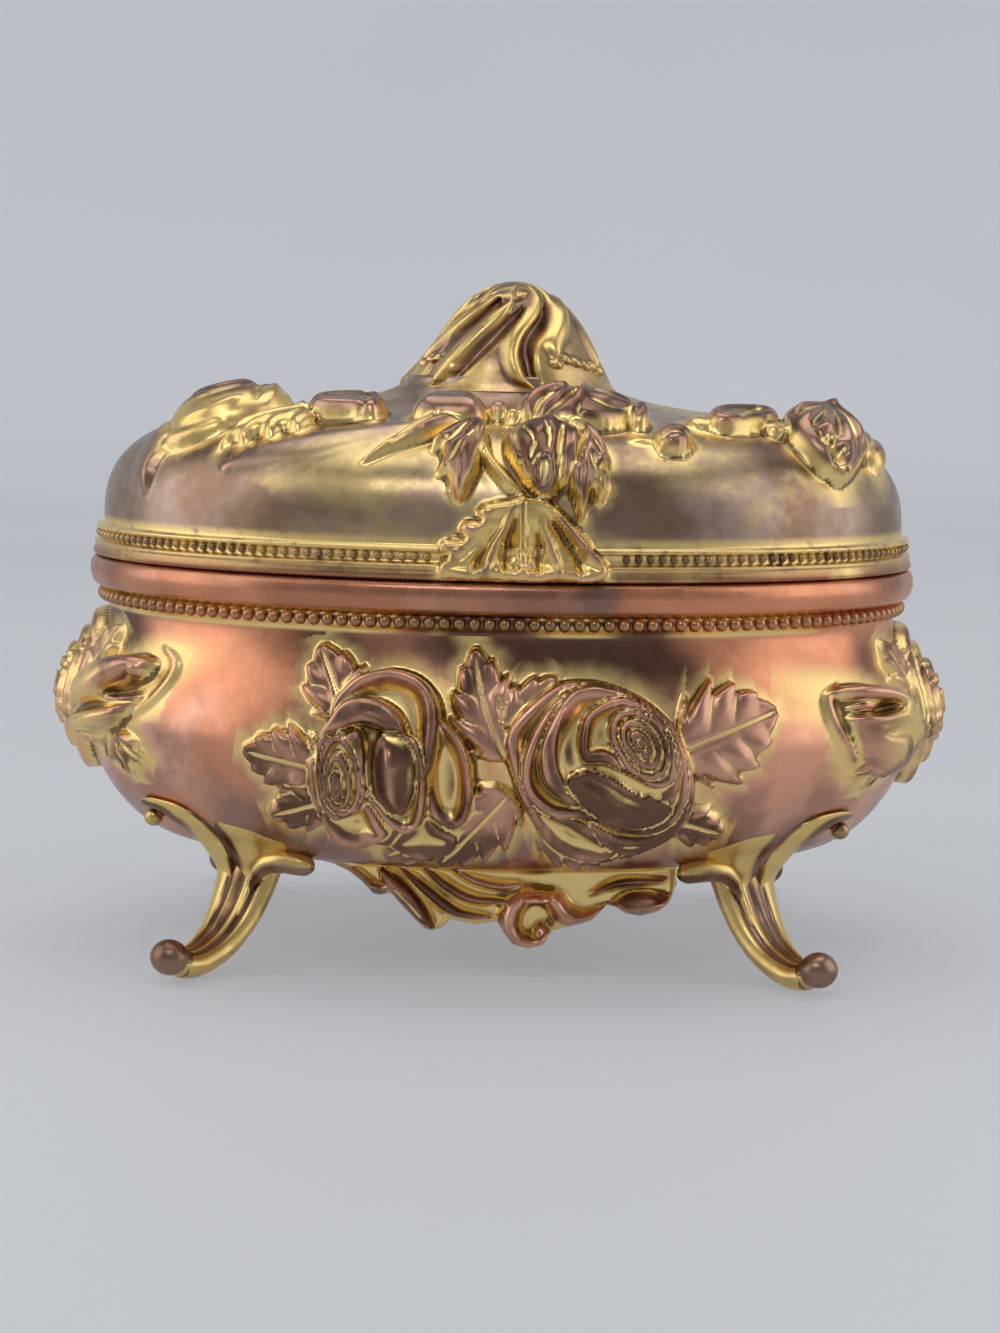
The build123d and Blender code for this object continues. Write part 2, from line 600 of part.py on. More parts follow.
def hinge_screws(z):
    """Three small round-headed screws through a leaf into its pad."""
    face = PAD_FACE_Y + LEAF_THICKNESS
    with BuildSketch(behind(face)) as shanks:
        with Locations(*screw_places(z)):
            Circle(SCREW_RADIUS)
    extrude(shanks.sketch, amount=LEAF_THICKNESS + SCREW_DEPTH - SCREW_CLEARANCE)
    for x, _ in screw_places(z):
        with BuildSketch(Plane((x, face, z), x_dir=(1, 0, 0), z_dir=(0, 0, 1))) as head:
            with BuildLine():
                crown = (0, SCREW_HEAD_RISE)
                brim = (SCREW_HEAD_RADIUS, 0)
                Polyline(crown, (0, 0), brim)
                ThreePointArc(brim, (0.7 * SCREW_HEAD_RADIUS, 0.7 * SCREW_HEAD_RISE), crown)
            make_face()
        revolve(head.sketch, axis=Axis((x, face, z), (0, 1, 0)))
        with Locations((x, face + SCREW_HEAD_RISE, z)):
            Box(3 * SCREW_HEAD_RADIUS, 2 * SLOT_DEPTH, SLOT_WIDTH, mode=Mode.SUBTRACT)


with BuildPart() as hinge_screws_case:
    hinge_screws(SEAM_HEIGHT - SCREW_DROP)
hinge_screws_case.part.label = "hinge_screws_case"

with BuildPart() as hinge_screws_lid:
    hinge_screws(SEAM_HEIGHT + SCREW_DROP)
hinge_screws_lid.part.label = "hinge_screws_lid"

# Lining of the case: a card floor, a crowned cushion, a padded wall lining and a cord along its top
BOARD_TOP = FLOOR_TOP + CARD_THICKNESS
LINING_TOP = SEAM_HEIGHT - WALL_LINING_TOP_GAP
CUSHION_INSET = WALL + WALL_LINING_THICKNESS + 2 * LINING_CLEARANCE

with BuildPart() as floor_board:
    oval_block(FLOOR_TOP, BOARD_TOP, *case_level(FLOOR_TOP, -WALL - LINING_CLEARANCE)[1:])
floor_board.part.label = "floor_board"

with BuildPart() as floor_cushion:
    crowned(BOARD_TOP, CUSHION_THICKNESS, *case_level(BOARD_TOP, -CUSHION_INSET)[1:])
floor_cushion.part.label = "floor_cushion"

with BuildPart() as wall_lining:
    low = BOARD_TOP + LINING_CLEARANCE
    outside = WALL + LINING_CLEARANCE
    inside = outside + WALL_LINING_THICKNESS
    oval_loft(case_levels(low, NECK_HEIGHT, -outside))
    oval_block(NECK_HEIGHT, LINING_TOP, *case_level(NECK_HEIGHT, -outside)[1:])
    oval_loft(case_levels(low, NECK_HEIGHT, -inside), mode=Mode.SUBTRACT)
    oval_block(NECK_HEIGHT, LINING_TOP, *case_level(NECK_HEIGHT, -inside)[1:], mode=Mode.SUBTRACT)
wall_lining.part.label = "wall_lining"


def cord_ring(z, half_width, half_depth, radius):
    """A cord laid round an oval."""
    with BuildLine(Plane.XY.offset(z)) as run:
        EllipticalCenterArc((0, 0), half_width, half_depth, arc_size=360)
    with BuildSketch(Plane((half_width, 0, z), x_dir=(1, 0, 0), z_dir=(0, 1, 0))) as section:
        Circle(radius)
    sweep(section.sketch, path=run.line)


with BuildPart() as rim_cord:
    cord_inset = CAVITY_INSET + LINING_CLEARANCE + RIM_CORD_RADIUS
    cord_ring(LINING_TOP + RIM_CORD_RADIUS, *rim_oval(cord_inset), RIM_CORD_RADIUS)
rim_cord.part.label = "rim_cord"

# Lining of the lid: a card pressed up to the ledge, a crowned pad under it and a fine cord round the pad
FLANGE_INSIDE = FLANGE_INSET + LID_WALL + LINING_CLEARANCE

with BuildPart() as lid_board:
    oval_block(LEDGE - CARD_THICKNESS, LEDGE, *rim_oval(FLANGE_INSIDE))
lid_board.part.label = "lid_board"

with BuildPart() as lid_cord:
    cord_inset = FLANGE_INSIDE + LID_CORD_RADIUS
    cord_ring(LEDGE - CARD_THICKNESS - LID_CORD_RADIUS, *rim_oval(cord_inset), LID_CORD_RADIUS)
lid_cord.part.label = "lid_cord"

with BuildPart() as lid_pad:
    edge = FLANGE_INSIDE + 2 * LID_CORD_RADIUS + LINING_CLEARANCE
    crowned(LEDGE - CARD_THICKNESS, -PAD_THICKNESS, *rim_oval(edge))
lid_pad.part.label = "lid_pad"

pieces = [
    body_shell.part, lid_shell.part, lid_finial.part,
    hinge_leaf_case.part, hinge_leaf_lid.part, hinge_pin.part, hinge_screws_case.part, hinge_screws_lid.part,
    floor_board.part, floor_cushion.part, wall_lining.part, rim_cord.part,
    lid_board.part, lid_pad.part, lid_cord.part,
]
for name, solid in feet.items():
    solid.label = name
    pieces.append(solid)

os.makedirs("parts", exist_ok=True)
for piece in pieces:
    export_step(piece, f"parts/{piece.label}.step")
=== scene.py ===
import math

import bpy
import numpy as np
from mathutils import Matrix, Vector


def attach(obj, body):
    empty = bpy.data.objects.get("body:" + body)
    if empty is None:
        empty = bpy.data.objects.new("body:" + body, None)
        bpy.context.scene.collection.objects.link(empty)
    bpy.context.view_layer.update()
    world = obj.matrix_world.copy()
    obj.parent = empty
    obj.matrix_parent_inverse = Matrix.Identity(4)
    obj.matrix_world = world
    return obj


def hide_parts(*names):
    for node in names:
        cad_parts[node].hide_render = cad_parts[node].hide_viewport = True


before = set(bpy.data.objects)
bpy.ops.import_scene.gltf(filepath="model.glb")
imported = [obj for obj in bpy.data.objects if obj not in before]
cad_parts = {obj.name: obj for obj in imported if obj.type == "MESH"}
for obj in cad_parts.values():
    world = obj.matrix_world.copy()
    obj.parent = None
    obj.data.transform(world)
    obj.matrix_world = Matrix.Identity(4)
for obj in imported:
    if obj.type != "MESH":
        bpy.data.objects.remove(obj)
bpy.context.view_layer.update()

# Sizes in millimetres, as the frame has them
MM = 0.001
RIM_HALF_WIDTH = 57.6
RIM_HALF_DEPTH = 43.0
SEAM_HEIGHT = 53.5
BASE_HEIGHT = 14.8
BASE_INSET = 13.5
BELLY_HEIGHT = 32.0
BELLY_SWELL = 0.9
NECK_HEIGHT = 46.6
NECK_INSET = 2.7
WALL = 2.0
FLOOR_TOP = 17.0
BAND_BOTTOM = 49.4
BAND_INSET = 1.1
CASE_BEAD_HEIGHT, CASE_BEAD_INSET, CASE_BEAD_PITCH = 48.2, 1.95, 1.9
CASE_BEAD_RADII = (0.95, 0.88, 0.92)
LID_BEAD_HEIGHT, LID_BEAD_INSET, LID_BEAD_PITCH = 56.6, 1.32, 1.58
LID_BEAD_RADII = (0.54, 0.54, 0.56)
LID_BOTTOM = 53.65
FLANGE_TOP = 57.9
DOME_INSET = 1.9
CROWN_HEIGHT = 74.5
CROWN_HALF_WIDTH = 30.0
CROWN_HALF_DEPTH = 17.0
SEAT_HEIGHT = 79.2
SEAT_HALF_WIDTH = 13.4
SEAT_HALF_DEPTH = 12.0
LID_WALL = 1.8
LEDGE = 56.5
HINGE_PAD_FRONT_Y = 40.4
HINGE_PAD_FACE_Y = 44.2
HINGE_PAD_HALF_WIDTH = 17.0
HINGE_PAD_HEIGHT = 7.6
# Depth inside the relief's edge that stands for no relief near
NO_RELIEF = -99.0


# Shared helpers
def fresh():
    """Leaves nothing selected, so that an operator acts on the new piece alone."""
    if bpy.context.object and bpy.context.object.mode != "OBJECT":
        bpy.ops.object.mode_set(mode="OBJECT")
    bpy.ops.object.select_all(action="DESELECT")


def pick(piece, edit=False):
    """Selects one piece alone, and opens all of it for editing where that is asked."""
    fresh()
    bpy.context.view_layer.objects.active = piece
    piece.select_set(True)
    if edit:
        bpy.ops.object.mode_set(mode="EDIT")
        bpy.ops.mesh.select_all(action="SELECT")


def name_it(name):
    """The active object under a name, its place held in its mesh."""
    piece = bpy.context.object
    bpy.ops.object.transform_apply(location=True, rotation=True, scale=True)
    piece.name = name
    piece.data.name = name
    return piece


def mend(piece, gap=0.00001):
    """Merges a piece's doubled points, turns its faces outwards and shades it smooth."""
    pick(piece, edit=True)
    bpy.ops.mesh.remove_doubles(threshold=gap)
    bpy.ops.mesh.normals_make_consistent(inside=False)
    bpy.ops.object.mode_set(mode="OBJECT")
    bpy.ops.object.shade_smooth()
    return piece


def points_of(piece):
    """A piece's points as rows of three."""
    flat = np.empty(len(piece.data.vertices) * 3)
    piece.data.vertices.foreach_get("co", flat)
    return flat.reshape(-1, 3)


def move_points(piece, places):
    """Puts a piece's points at places in metres."""
    piece.data.vertices.foreach_set("co", places.astype(np.float32).ravel())
    piece.data.update()


def toned(piece, **tones):
    """Holds tones on a piece's points: one value for all of them, or one for each."""
    for key, tone in tones.items():
        layer = piece.data.attributes.new(key, "FLOAT", "POINT")
        layer.data.foreach_set("value", np.full(len(piece.data.vertices), tone, np.float32))
    return piece


def skin(name, places, ring=True, tones=None):
    """A sheet of rows and columns laid on places in millimetres; ring joins its last column to its first."""
    tones = tones or {}
    if ring:
        places = np.concatenate([places, places[:, :1]], axis=1)
        tones = {key: np.concatenate([tone, tone[:, :1]], axis=1) for key, tone in tones.items()}
    rows, columns = places.shape[:2]
    fresh()
    bpy.ops.mesh.primitive_grid_add(x_subdivisions=columns - 1, y_subdivisions=rows - 1, size=2)
    piece = name_it(name)
    flat = points_of(piece)
    column = np.rint((flat[:, 0] + 1) / 2 * (columns - 1)).astype(int)
    row = np.rint((flat[:, 1] + 1) / 2 * (rows - 1)).astype(int)
    move_points(piece, places[row, column] * MM)
    return mend(toned(piece, **{key: tone[row, column] for key, tone in tones.items()}))


def closed(places, first=None, last=None):
    """Rows of places closed at both ends with a point, or the middle of the end row where none is given."""
    ends = []
    for row, point in ((places[0], first), (places[-1], last)):
        point = row.mean(0) if point is None else np.array(point, float)
        ends.append(np.repeat(point[None, None], places.shape[1], 1))
    return np.concatenate([ends[0], places, ends[1]])


def smoothstep(value, low, high):
    """Climbs from 0 at low to 1 at high with soft ends."""
    t = np.clip((value - low) / (high - low), 0.0, 1.0)
    return t * t * (3 - 2 * t)


def cos_sin(degrees):
    """Cosine and sine of a turn in degrees."""
    return math.cos(math.radians(degrees)), math.sin(math.radians(degrees))


def smooth_line(points, closed=False, steps=8):
    """A smooth line through given points."""
    p = np.array(points, float)
    if closed:
        before, start, after, beyond = np.roll(p, 1, 0), p, np.roll(p, -1, 0), np.roll(p, -2, 0)
    else:
        ends = np.concatenate([2 * p[:1] - p[1:2], p, 2 * p[-1:] - p[-2:-1]])
        before, start, after, beyond = ends[:-3], ends[1:-2], ends[2:-1], ends[3:]
    t = (np.arange(steps) / steps)[None, :, None]
    a, b, c, d = (q[:, None, :] for q in (before, start, after, beyond))
    line = 0.5 * (2 * b + (c - a) * t + (2 * a - 5 * b + 4 * c - d) * t**2 + (3 * b - a - 3 * c + d) * t**3)
    line = line.reshape(-1, p.shape[1])
    return line if closed else np.concatenate([line, p[-1:]])


def spaced(stops):
    """Numbers from the first stop to the last, with each stop's own step after it."""
    line = []
    for (low, step), (high, _) in zip(stops[:-1], stops[1:]):
        count = max(1, round((high - low) / step))
        line.append(low + (high - low) * np.arange(count) / count)
    return np.concatenate(line)


def softened(height, times=1, ring=True):
    """Heights averaged with their neighbours in rows and columns."""
    for _ in range(times):
        if ring:
            sides = np.roll(height, 1, 1) + np.roll(height, -1, 1)
        else:
            padded = np.pad(height, ((0, 0), (1, 1)), mode="edge")
            sides = padded[:, :-2] + padded[:, 2:]
        padded = np.pad(height, ((1, 1), (0, 0)), mode="edge")
        height = 0.5 * height + 0.125 * (sides + padded[:-2] + padded[2:])
    return height


# Relief
class Relief:
    """Cast relief as heights in millimetres over places across and up a smooth surface."""

    def __init__(self, across, up):
        self.across = across
        self.up = up
        self.height = np.zeros_like(across)
        self.edge = np.full_like(across, NO_RELIEF)
        self.heart = None

    def near(self, line, margin):
        """Which places lie within a margin of a line."""
        low, high = line.min(0) - margin, line.max(0) + margin
        beside = (self.across > low[0]) & (self.across < high[0])
        return beside & (self.up > low[1]) & (self.up < high[1])

    def measure(self, line, closed, where):
        """Distance to a line, share of the way along it, and which places it goes round."""
        x, y = self.across[where][:, None], self.up[where][:, None]
        start = line if closed else line[:-1]
        stop = np.roll(line, -1, 0) if closed else line[1:]
        dx, dy = stop[:, 0] - start[:, 0], stop[:, 1] - start[:, 1]
        t = np.clip(((x - start[:, 0]) * dx + (y - start[:, 1]) * dy) / (dx**2 + dy**2 + 1e-12), 0, 1)
        gap = np.hypot(x - start[:, 0] - t * dx, y - start[:, 1] - t * dy)
        best = gap.argmin(1)
        rows = np.arange(len(best))
        along = (best + t[rows, best]) / len(start)
        level = np.where(np.abs(dy) < 1e-12, 1e-12, dy)
        left = x < dx * (y - start[:, 1]) / level + start[:, 0]
        crossing = ((start[:, 1] > y) != (stop[:, 1] > y)) & left
        return gap[rows, best], along, crossing.sum(1) % 2 == 1

    def frame_at(self, x, y, turn):
        """Distances of all places along and across an axis turned from level."""
        c, s = cos_sin(turn)
        return (self.across - x) * c + (self.up - y) * s, -(self.across - x) * s + (self.up - y) * c

    def lay(self, line, level, lip=0.45, roll=0.7, hollow=0.8, reach=2.5, tilt=(0, 0), ribs=0, soft=0):
        """A petal within a closed line: a rolled lip, then a hollow, or a swell where hollow is negative.

        Its lip is fuller away from the flower's heart, and soft rounds its sides down over that width.
        """
        where = self.near(line, 3.5)
        gap, along, inside = self.measure(line, True, where)
        depth = np.where(inside, gap, -gap)
        middle = line.mean(0)
        dx, dy = self.across[where] - middle[0], self.up[where] - middle[1]
        if self.heart is not None:
            away = middle - self.heart
            facing = (dx * away[0] + dy * away[1]) / (np.hypot(*away) * np.hypot(dx, dy) + 0.01)
            lip = lip * (0.3 + 0.9 * smoothstep(facing, -0.7, 0.6))
        form = level + dx * tilt[0] + dy * tilt[1] + lip * (1 - (1 - np.clip(depth / roll, 0, 1)) ** 2)
        form -= (hollow + 0.8 * lip) * smoothstep(depth, roll, roll + reach)
        if ribs:
            near_lip = np.clip(1 - np.abs(depth - 1.3 * roll) / roll, 0, 1)
            form += 0.1 * np.cos(2 * np.pi * ribs * along) * near_lip
        form = np.maximum(form, 0.25)
        if soft:
            form *= np.sqrt(1 - (1 - np.clip(depth / soft, 0, 1)) ** 2)
        else:
            form *= 0.55 + 0.45 * smoothstep(depth, 0.0, 0.35)
        self.height[where] = np.where(inside, form, self.height[where])
        self.edge[where] = np.maximum(self.edge[where], depth)

    def petal(self, points, *form, steps=8, **more):
        """A petal whose edge runs smoothly through given points."""
        self.lay(smooth_line(points, True, steps), *form, **more)

    def oval(self, x, y, long_half, short_half, turn, *form, **more):
        """A petal with an oval edge, its long axis turned from level."""
        angle = np.linspace(0, 2 * np.pi, 40, endpoint=False)
        c, s = cos_sin(turn)
        u, v = long_half * np.cos(angle), short_half * np.sin(angle)
        self.lay(np.stack([x + u * c - v * s, y + u * s + v * c], 1), *form, **more)

    def mound(self, x, y, half_across, half_up, rise, turn=0.0):
        """A rounded swell with an oval foot."""
        u, v = self.frame_at(x, y, turn)
        share = np.hypot(u / half_across, v / half_up)
        form = rise * np.sqrt(np.clip(1 - share**2.4, 0, 1))
        self.height = np.where(share < 1, np.maximum(self.height, form), self.height)
        self.edge = np.maximum(self.edge, (1 - share) * min(half_across, half_up))

    def ridge(self, points, width, height, ends=True, mark=True):
        """A rounded ridge along a line, or a groove where height is negative.

        It narrows towards its ends unless ends is false, and counts as relief unless mark is false.
        """
        line = smooth_line(points)
        where = self.near(line, width)
        gap, along, _ = self.measure(line, False, where)
        reach = width * (np.sin(np.pi * np.clip(along, 0.02, 0.98)) ** 0.5 if ends else 1.0)
        self.height[where] += height * np.clip(1 - (gap / reach) ** 2, 0, 1) ** 1.5
        if height > 0 and mark:
            self.edge[where] = np.maximum(self.edge[where], reach - gap)

    def leaf(self, base, tip, width, rise, teeth, bend=0.0):
        """A serrated leaf from its base to its tip, with a midrib and puffed lobes between its veins."""
        base, tip = np.array(base, float), np.array(tip, float)
        axis = tip - base
        length = np.hypot(*axis)
        axis /= length
        dx, dy = self.across - base[0], self.up - base[1]
        t = (dx * axis[0] + dy * axis[1]) / length
        side = dx * -axis[1] + dy * axis[0]
        where = (t > -0.15) & (t < 1.15) & (np.abs(side) < width)
        t = t[where]
        side = np.abs(side[where] - bend * np.sin(np.pi * np.clip(t, 0, 1)))
        span = np.clip(t, 0.001, 0.999)
        slope = side / (width / 2)
        tooth = (teeth * (span - 0.22 * slope)) % 1.0
        outline = np.sin(np.pi * span**0.72) ** 0.75 * (0.76 + 0.36 * tooth**1.5)
        depth = np.minimum(outline * width / 2 - side, np.minimum(t, 1 - t) * length)
        form = rise * (0.45 + 0.55 * np.sqrt(np.clip(depth / 0.7, 0, 1)))
        form += 0.62 * np.sin(np.pi * tooth) ** 0.6 * smoothstep(side, 0.2, 0.26 * width) - 0.25
        form -= 0.35 * np.exp(-((side / 0.28) ** 2)) - 0.22 * np.exp(-(((side - 0.5) / 0.3) ** 2))
        self.height[where] = np.where(depth > 0, np.maximum(form, 0.15), self.height[where])
        self.edge[where] = np.maximum(self.edge[where], depth)

    def bud(self, x, y, long_half, short_half, turn, rise, folds):
        """A closed rosebud: a swollen drop wound with folds, pointing along turn."""
        u, v = self.frame_at(x, y, turn)
        along = np.clip(u / long_half, -1, 1)
        half = short_half * np.sqrt(np.clip(1 - along**2, 0, 1)) * (1 - 0.38 * along)
        depth = np.minimum(half - np.abs(v), long_half - np.abs(u))
        across = v / np.maximum(half, 0.05)
        form = rise * np.sqrt(np.clip(1 - (0.96 * across) ** 2, 0, 1)) * (0.75 + 0.25 * np.cos(along * 1.4))
        wave = (folds * (0.5 * across + 0.42 * along) + 0.3) % 1.0
        form += 0.5 * (wave - 0.5) * np.clip(1 - np.abs(across), 0, 1) ** 0.5
        self.height = np.where(depth > 0, np.maximum(form, 0.2), self.height)
        self.edge = np.maximum(self.edge, np.where(np.abs(u) < long_half * 1.4, depth, NO_RELIEF))


def cast(shape, views):
    """Heights of the relief painted on a wall, and depths inside the relief's edge.

    Each view gives all places across and up, which of them it covers, and what paints it.
    """
    height, halo = np.zeros(shape), np.full(shape, NO_RELIEF)
    for across, up, seen, paint in views:
        relief = Relief(across[seen], up[seen])
        paint(relief)
        height[seen] = np.maximum(height[seen], relief.height)
        halo[seen] = np.maximum(halo[seen], relief.edge)
    return softened(height), halo


def relief_tones(rise, height, halo):
    """What the metal's material reads on a wall with relief, with a row more at each end.

    Rise is the height of its faces, halo the depth inside the relief's edge, and hollow the height above near
    and wider surroundings, which is negative in a hollow.
    """
    near = softened(height, 5)
    hollow = height - 0.72 * near - 0.28 * softened(near, 24)
    ends = ((1, 1), (0, 0))
    return {
        "rise": np.pad(rise, ends), "halo": np.pad(halo, ends, constant_values=NO_RELIEF),
        "hollow": np.pad(hollow, ends),
    }


def bare_tones(rise):
    """The same tones on a closed piece that is all relief: a low rise is bright and a high one dark brown,
    from brown metal and from painted shade.
    """
    rise = np.pad(rise, ((1, 1), (0, 0)), mode="edge")
    return {"rise": rise, "hollow": 0 * rise, "halo": 0 * rise + 1}


# Ovals
def oval_row(half_width, half_depth, z, turns):
    """Places round an oval at a height."""
    return np.stack([half_width * np.cos(turns), half_depth * np.sin(turns), z + 0 * turns], -1)


def oval_arc(half_width, half_depth, count):
    """Angles round an oval, and the length of its edge up to each."""
    fine = np.linspace(0, 2 * np.pi, count)
    step = np.hypot(np.diff(half_width * np.cos(fine)), np.diff(half_depth * np.sin(fine)))
    return fine, np.concatenate([[0], np.cumsum(step)])


def oval_turns(stops):
    """Oval angles whose spacing in millimetres along the rim changes at each stop."""
    fine, length = oval_arc(RIM_HALF_WIDTH, RIM_HALF_DEPTH, 20001)
    marks = [(np.interp(math.radians(angle), fine, length), spacing) for angle, spacing in stops]
    return np.interp(spaced(marks), length, fine)


def beyond_rim(profile):
    """Heights and distances beyond the rim's oval as heights and half axes."""
    return [(z, RIM_HALF_WIDTH + out, RIM_HALF_DEPTH + out) for z, out in profile]


def oval_wall(profile, turns):
    """Places and outward directions on a wall given as rows of height and two half axes."""
    height, half_width, half_depth = (profile[:, k][:, None] for k in range(3))
    x, y = half_width * np.cos(turns), half_depth * np.sin(turns)
    climb = np.gradient(profile[:, 0])[:, None]
    swell = 0.5 * np.gradient(profile[:, 1] + profile[:, 2])[:, None]
    nx, ny = half_depth * np.cos(turns), half_width * np.sin(turns)
    level = np.hypot(nx, ny) + 1e-9
    normal = np.stack([nx / level * climb, ny / level * climb, -swell + 0 * nx], 2)
    return x, y, height + 0 * x, normal / (np.linalg.norm(normal, axis=2, keepdims=True) + 1e-9)


# Case
def case_offset(z):
    """How far the outside of the case stands beyond the rim's oval at a height."""
    fall = np.clip((BELLY_HEIGHT - z) / (BELLY_HEIGHT - BASE_HEIGHT), 0, 1)
    below = BELLY_SWELL - (BELLY_SWELL + BASE_INSET) * (1 - np.sqrt(np.clip(1 - fall**1.5, 0, 1)))
    rise = np.clip((z - BELLY_HEIGHT) / (NECK_HEIGHT - BELLY_HEIGHT), 0, 1)
    above = BELLY_SWELL - (BELLY_SWELL + NECK_INSET) * (0.5 - 0.5 * np.cos(np.pi * rise))
    return np.where(z < BELLY_HEIGHT, below, above)


def paint_case_front(relief):
    """Two full roses with leaves around them."""
    leaf = relief.leaf
    leaf((-19.3, 36.2), (-22.6, 45.0), 8.6, 1.5, 3)
    leaf((-22.5, 29.6), (-32.6, 31.2), 8.6, 1.5, 4)
    leaf((-20.9, 25.6), (-29.4, 22.6), 7.2, 1.3, 3)
    leaf((0.9, 31.5), (-3.2, 45.4), 8.8, 1.7, 4, 0.8)
    leaf((0.9, 35.0), (7.2, 41.6), 6.6, 1.5, 3)
    leaf((23.0, 32.6), (35.6, 37.0), 13.2, 1.7, 4)
    leaf((22.5, 23.5), (29.6, 21.0), 6.2, 1.1, 3)
    leaf((1.6, 27.5), (-7.6, 16.8), 9.6, 1.4, 4)
    leaf((5.4, 22.6), (15.6, 18.2), 8.4, 1.3, 4)
    leaf((-6.4, 22.4), (-14.8, 17.6), 7.0, 1.2, 3)
    left_rose(relief)
    right_rose(relief)


def left_rose(relief):
    """The left rose, its heart turned to the left with a big swelling petal beside it."""
    petal, oval, ridge = relief.petal, relief.oval, relief.ridge
    relief.heart = np.array([-18.6, 29.6])
    outer = [(-23.6, 30.2), (-21.6, 34.6), (-18.4, 39.8), (-12.9, 41.9), (-8.6, 40.0), (-6.8, 34.8),
             (-7.6, 26.0), (-10.6, 20.6), (-15.6, 19.8), (-20.4, 21.6), (-23.4, 26.0)]
    petal(outer, 1.3, 0.3, 0.6, -0.8, 6.0)
    right_side = [(-7.6, 36.0), (-4.9, 34.4), (-3.3, 31.6), (-2.9, 27.9), (-3.6, 24.6), (-5.3, 23.2),
                  (-8.0, 24.4), (-9.2, 28.0), (-8.9, 32.6)]
    petal(right_side, 2.1, 0.7, 0.55, 1.5, 1.6, (0.1, 0), 46)
    ribbed_foot = [(-9.8, 24.7), (-7.2, 23.4), (-5.0, 22.2), (-5.4, 19.8), (-8.5, 18.4), (-11.8, 18.7),
                   (-13.6, 19.8), (-12.4, 21.6)]
    petal(ribbed_foot, 1.4, 0.5, 0.6, 0.7, 2.0, (0.1, 0), 40)
    back = [(-20.6, 36.6), (-18.2, 40.0), (-15.6, 41.4), (-12.9, 41.8), (-10.0, 41.0), (-7.9, 39.0),
            (-7.2, 35.4), (-8.4, 30.0), (-13.0, 28.0), (-19.0, 31.0)]
    petal(back, 2.9, 0.7, 0.9, 1.4, 2.0, (0.02, 0))
    left_side = [(-23.7, 30.4), (-22.4, 31.2), (-21.0, 29.6), (-20.6, 25.0), (-20.6, 22.6), (-21.8, 23.0),
                 (-23.1, 26.4)]
    petal(left_side, 2.0, 0.6, 0.7, 0.9, 1.0)
    foot = [(-22.0, 24.0), (-20.2, 21.2), (-17.6, 20.2), (-15.2, 20.9), (-13.4, 22.2), (-14.4, 24.4),
            (-16.1, 26.6), (-18.4, 26.4), (-20.8, 25.6)]
    petal(foot, 2.4, 0.7, 0.75, 1.2, 1.8)
    cradle = [(-16.6, 28.6), (-15.0, 25.6), (-13.2, 23.6), (-11.2, 22.8), (-9.4, 23.8), (-8.6, 27.0),
              (-8.8, 31.8), (-10.6, 34.2), (-14.0, 34.0)]
    petal(cradle, 2.9, 0.55, 0.55, 1.4, 1.2)
    heart_side = [(-21.6, 33.8), (-19.2, 33.6), (-16.8, 34.8), (-15.8, 31.0), (-15.9, 27.2), (-17.4, 24.9),
                  (-19.8, 24.2), (-21.6, 26.2), (-22.2, 30.0)]
    petal(heart_side, 3.3, 0.5, 0.55, 1.0, 1.4)
    arch = [(-21.6, 33.6), (-19.4, 36.9), (-17.1, 38.0), (-14.8, 37.9), (-12.4, 36.8), (-11.0, 34.6),
            (-11.3, 32.4), (-13.6, 34.2), (-16.4, 34.9), (-19.6, 34.0)]
    petal(arch, 3.9, 0.45, 0.8, 0.1, 2.0)
    swell = [(-14.8, 34.0), (-15.9, 30.8), (-15.3, 27.2), (-13.4, 25.2), (-11.4, 25.1), (-9.9, 27.9),
             (-9.7, 31.6), (-11.0, 33.6), (-12.8, 34.5)]
    petal(swell, 2.7, 0.0, 0.5, -1.9, 2.8)
    for x, z, long_half, short_half, level in (
        (-19.0, 29.4, 4.5, 2.7, 3.6), (-19.2, 29.0, 3.3, 1.75, 3.8), (-19.4, 28.6, 1.9, 0.85, 4.0),
    ):
        oval(x, z, long_half, short_half, 96, level, 0.55, 0.45, 0.9, 0.5)
    ridge([(-16.9, 34.4), (-16.5, 31.0), (-16.3, 27.0)], 0.7, 0.5)
    ridge([(-20.9, 33.4), (-18.6, 33.9), (-16.8, 33.2)], 0.5, 0.5)


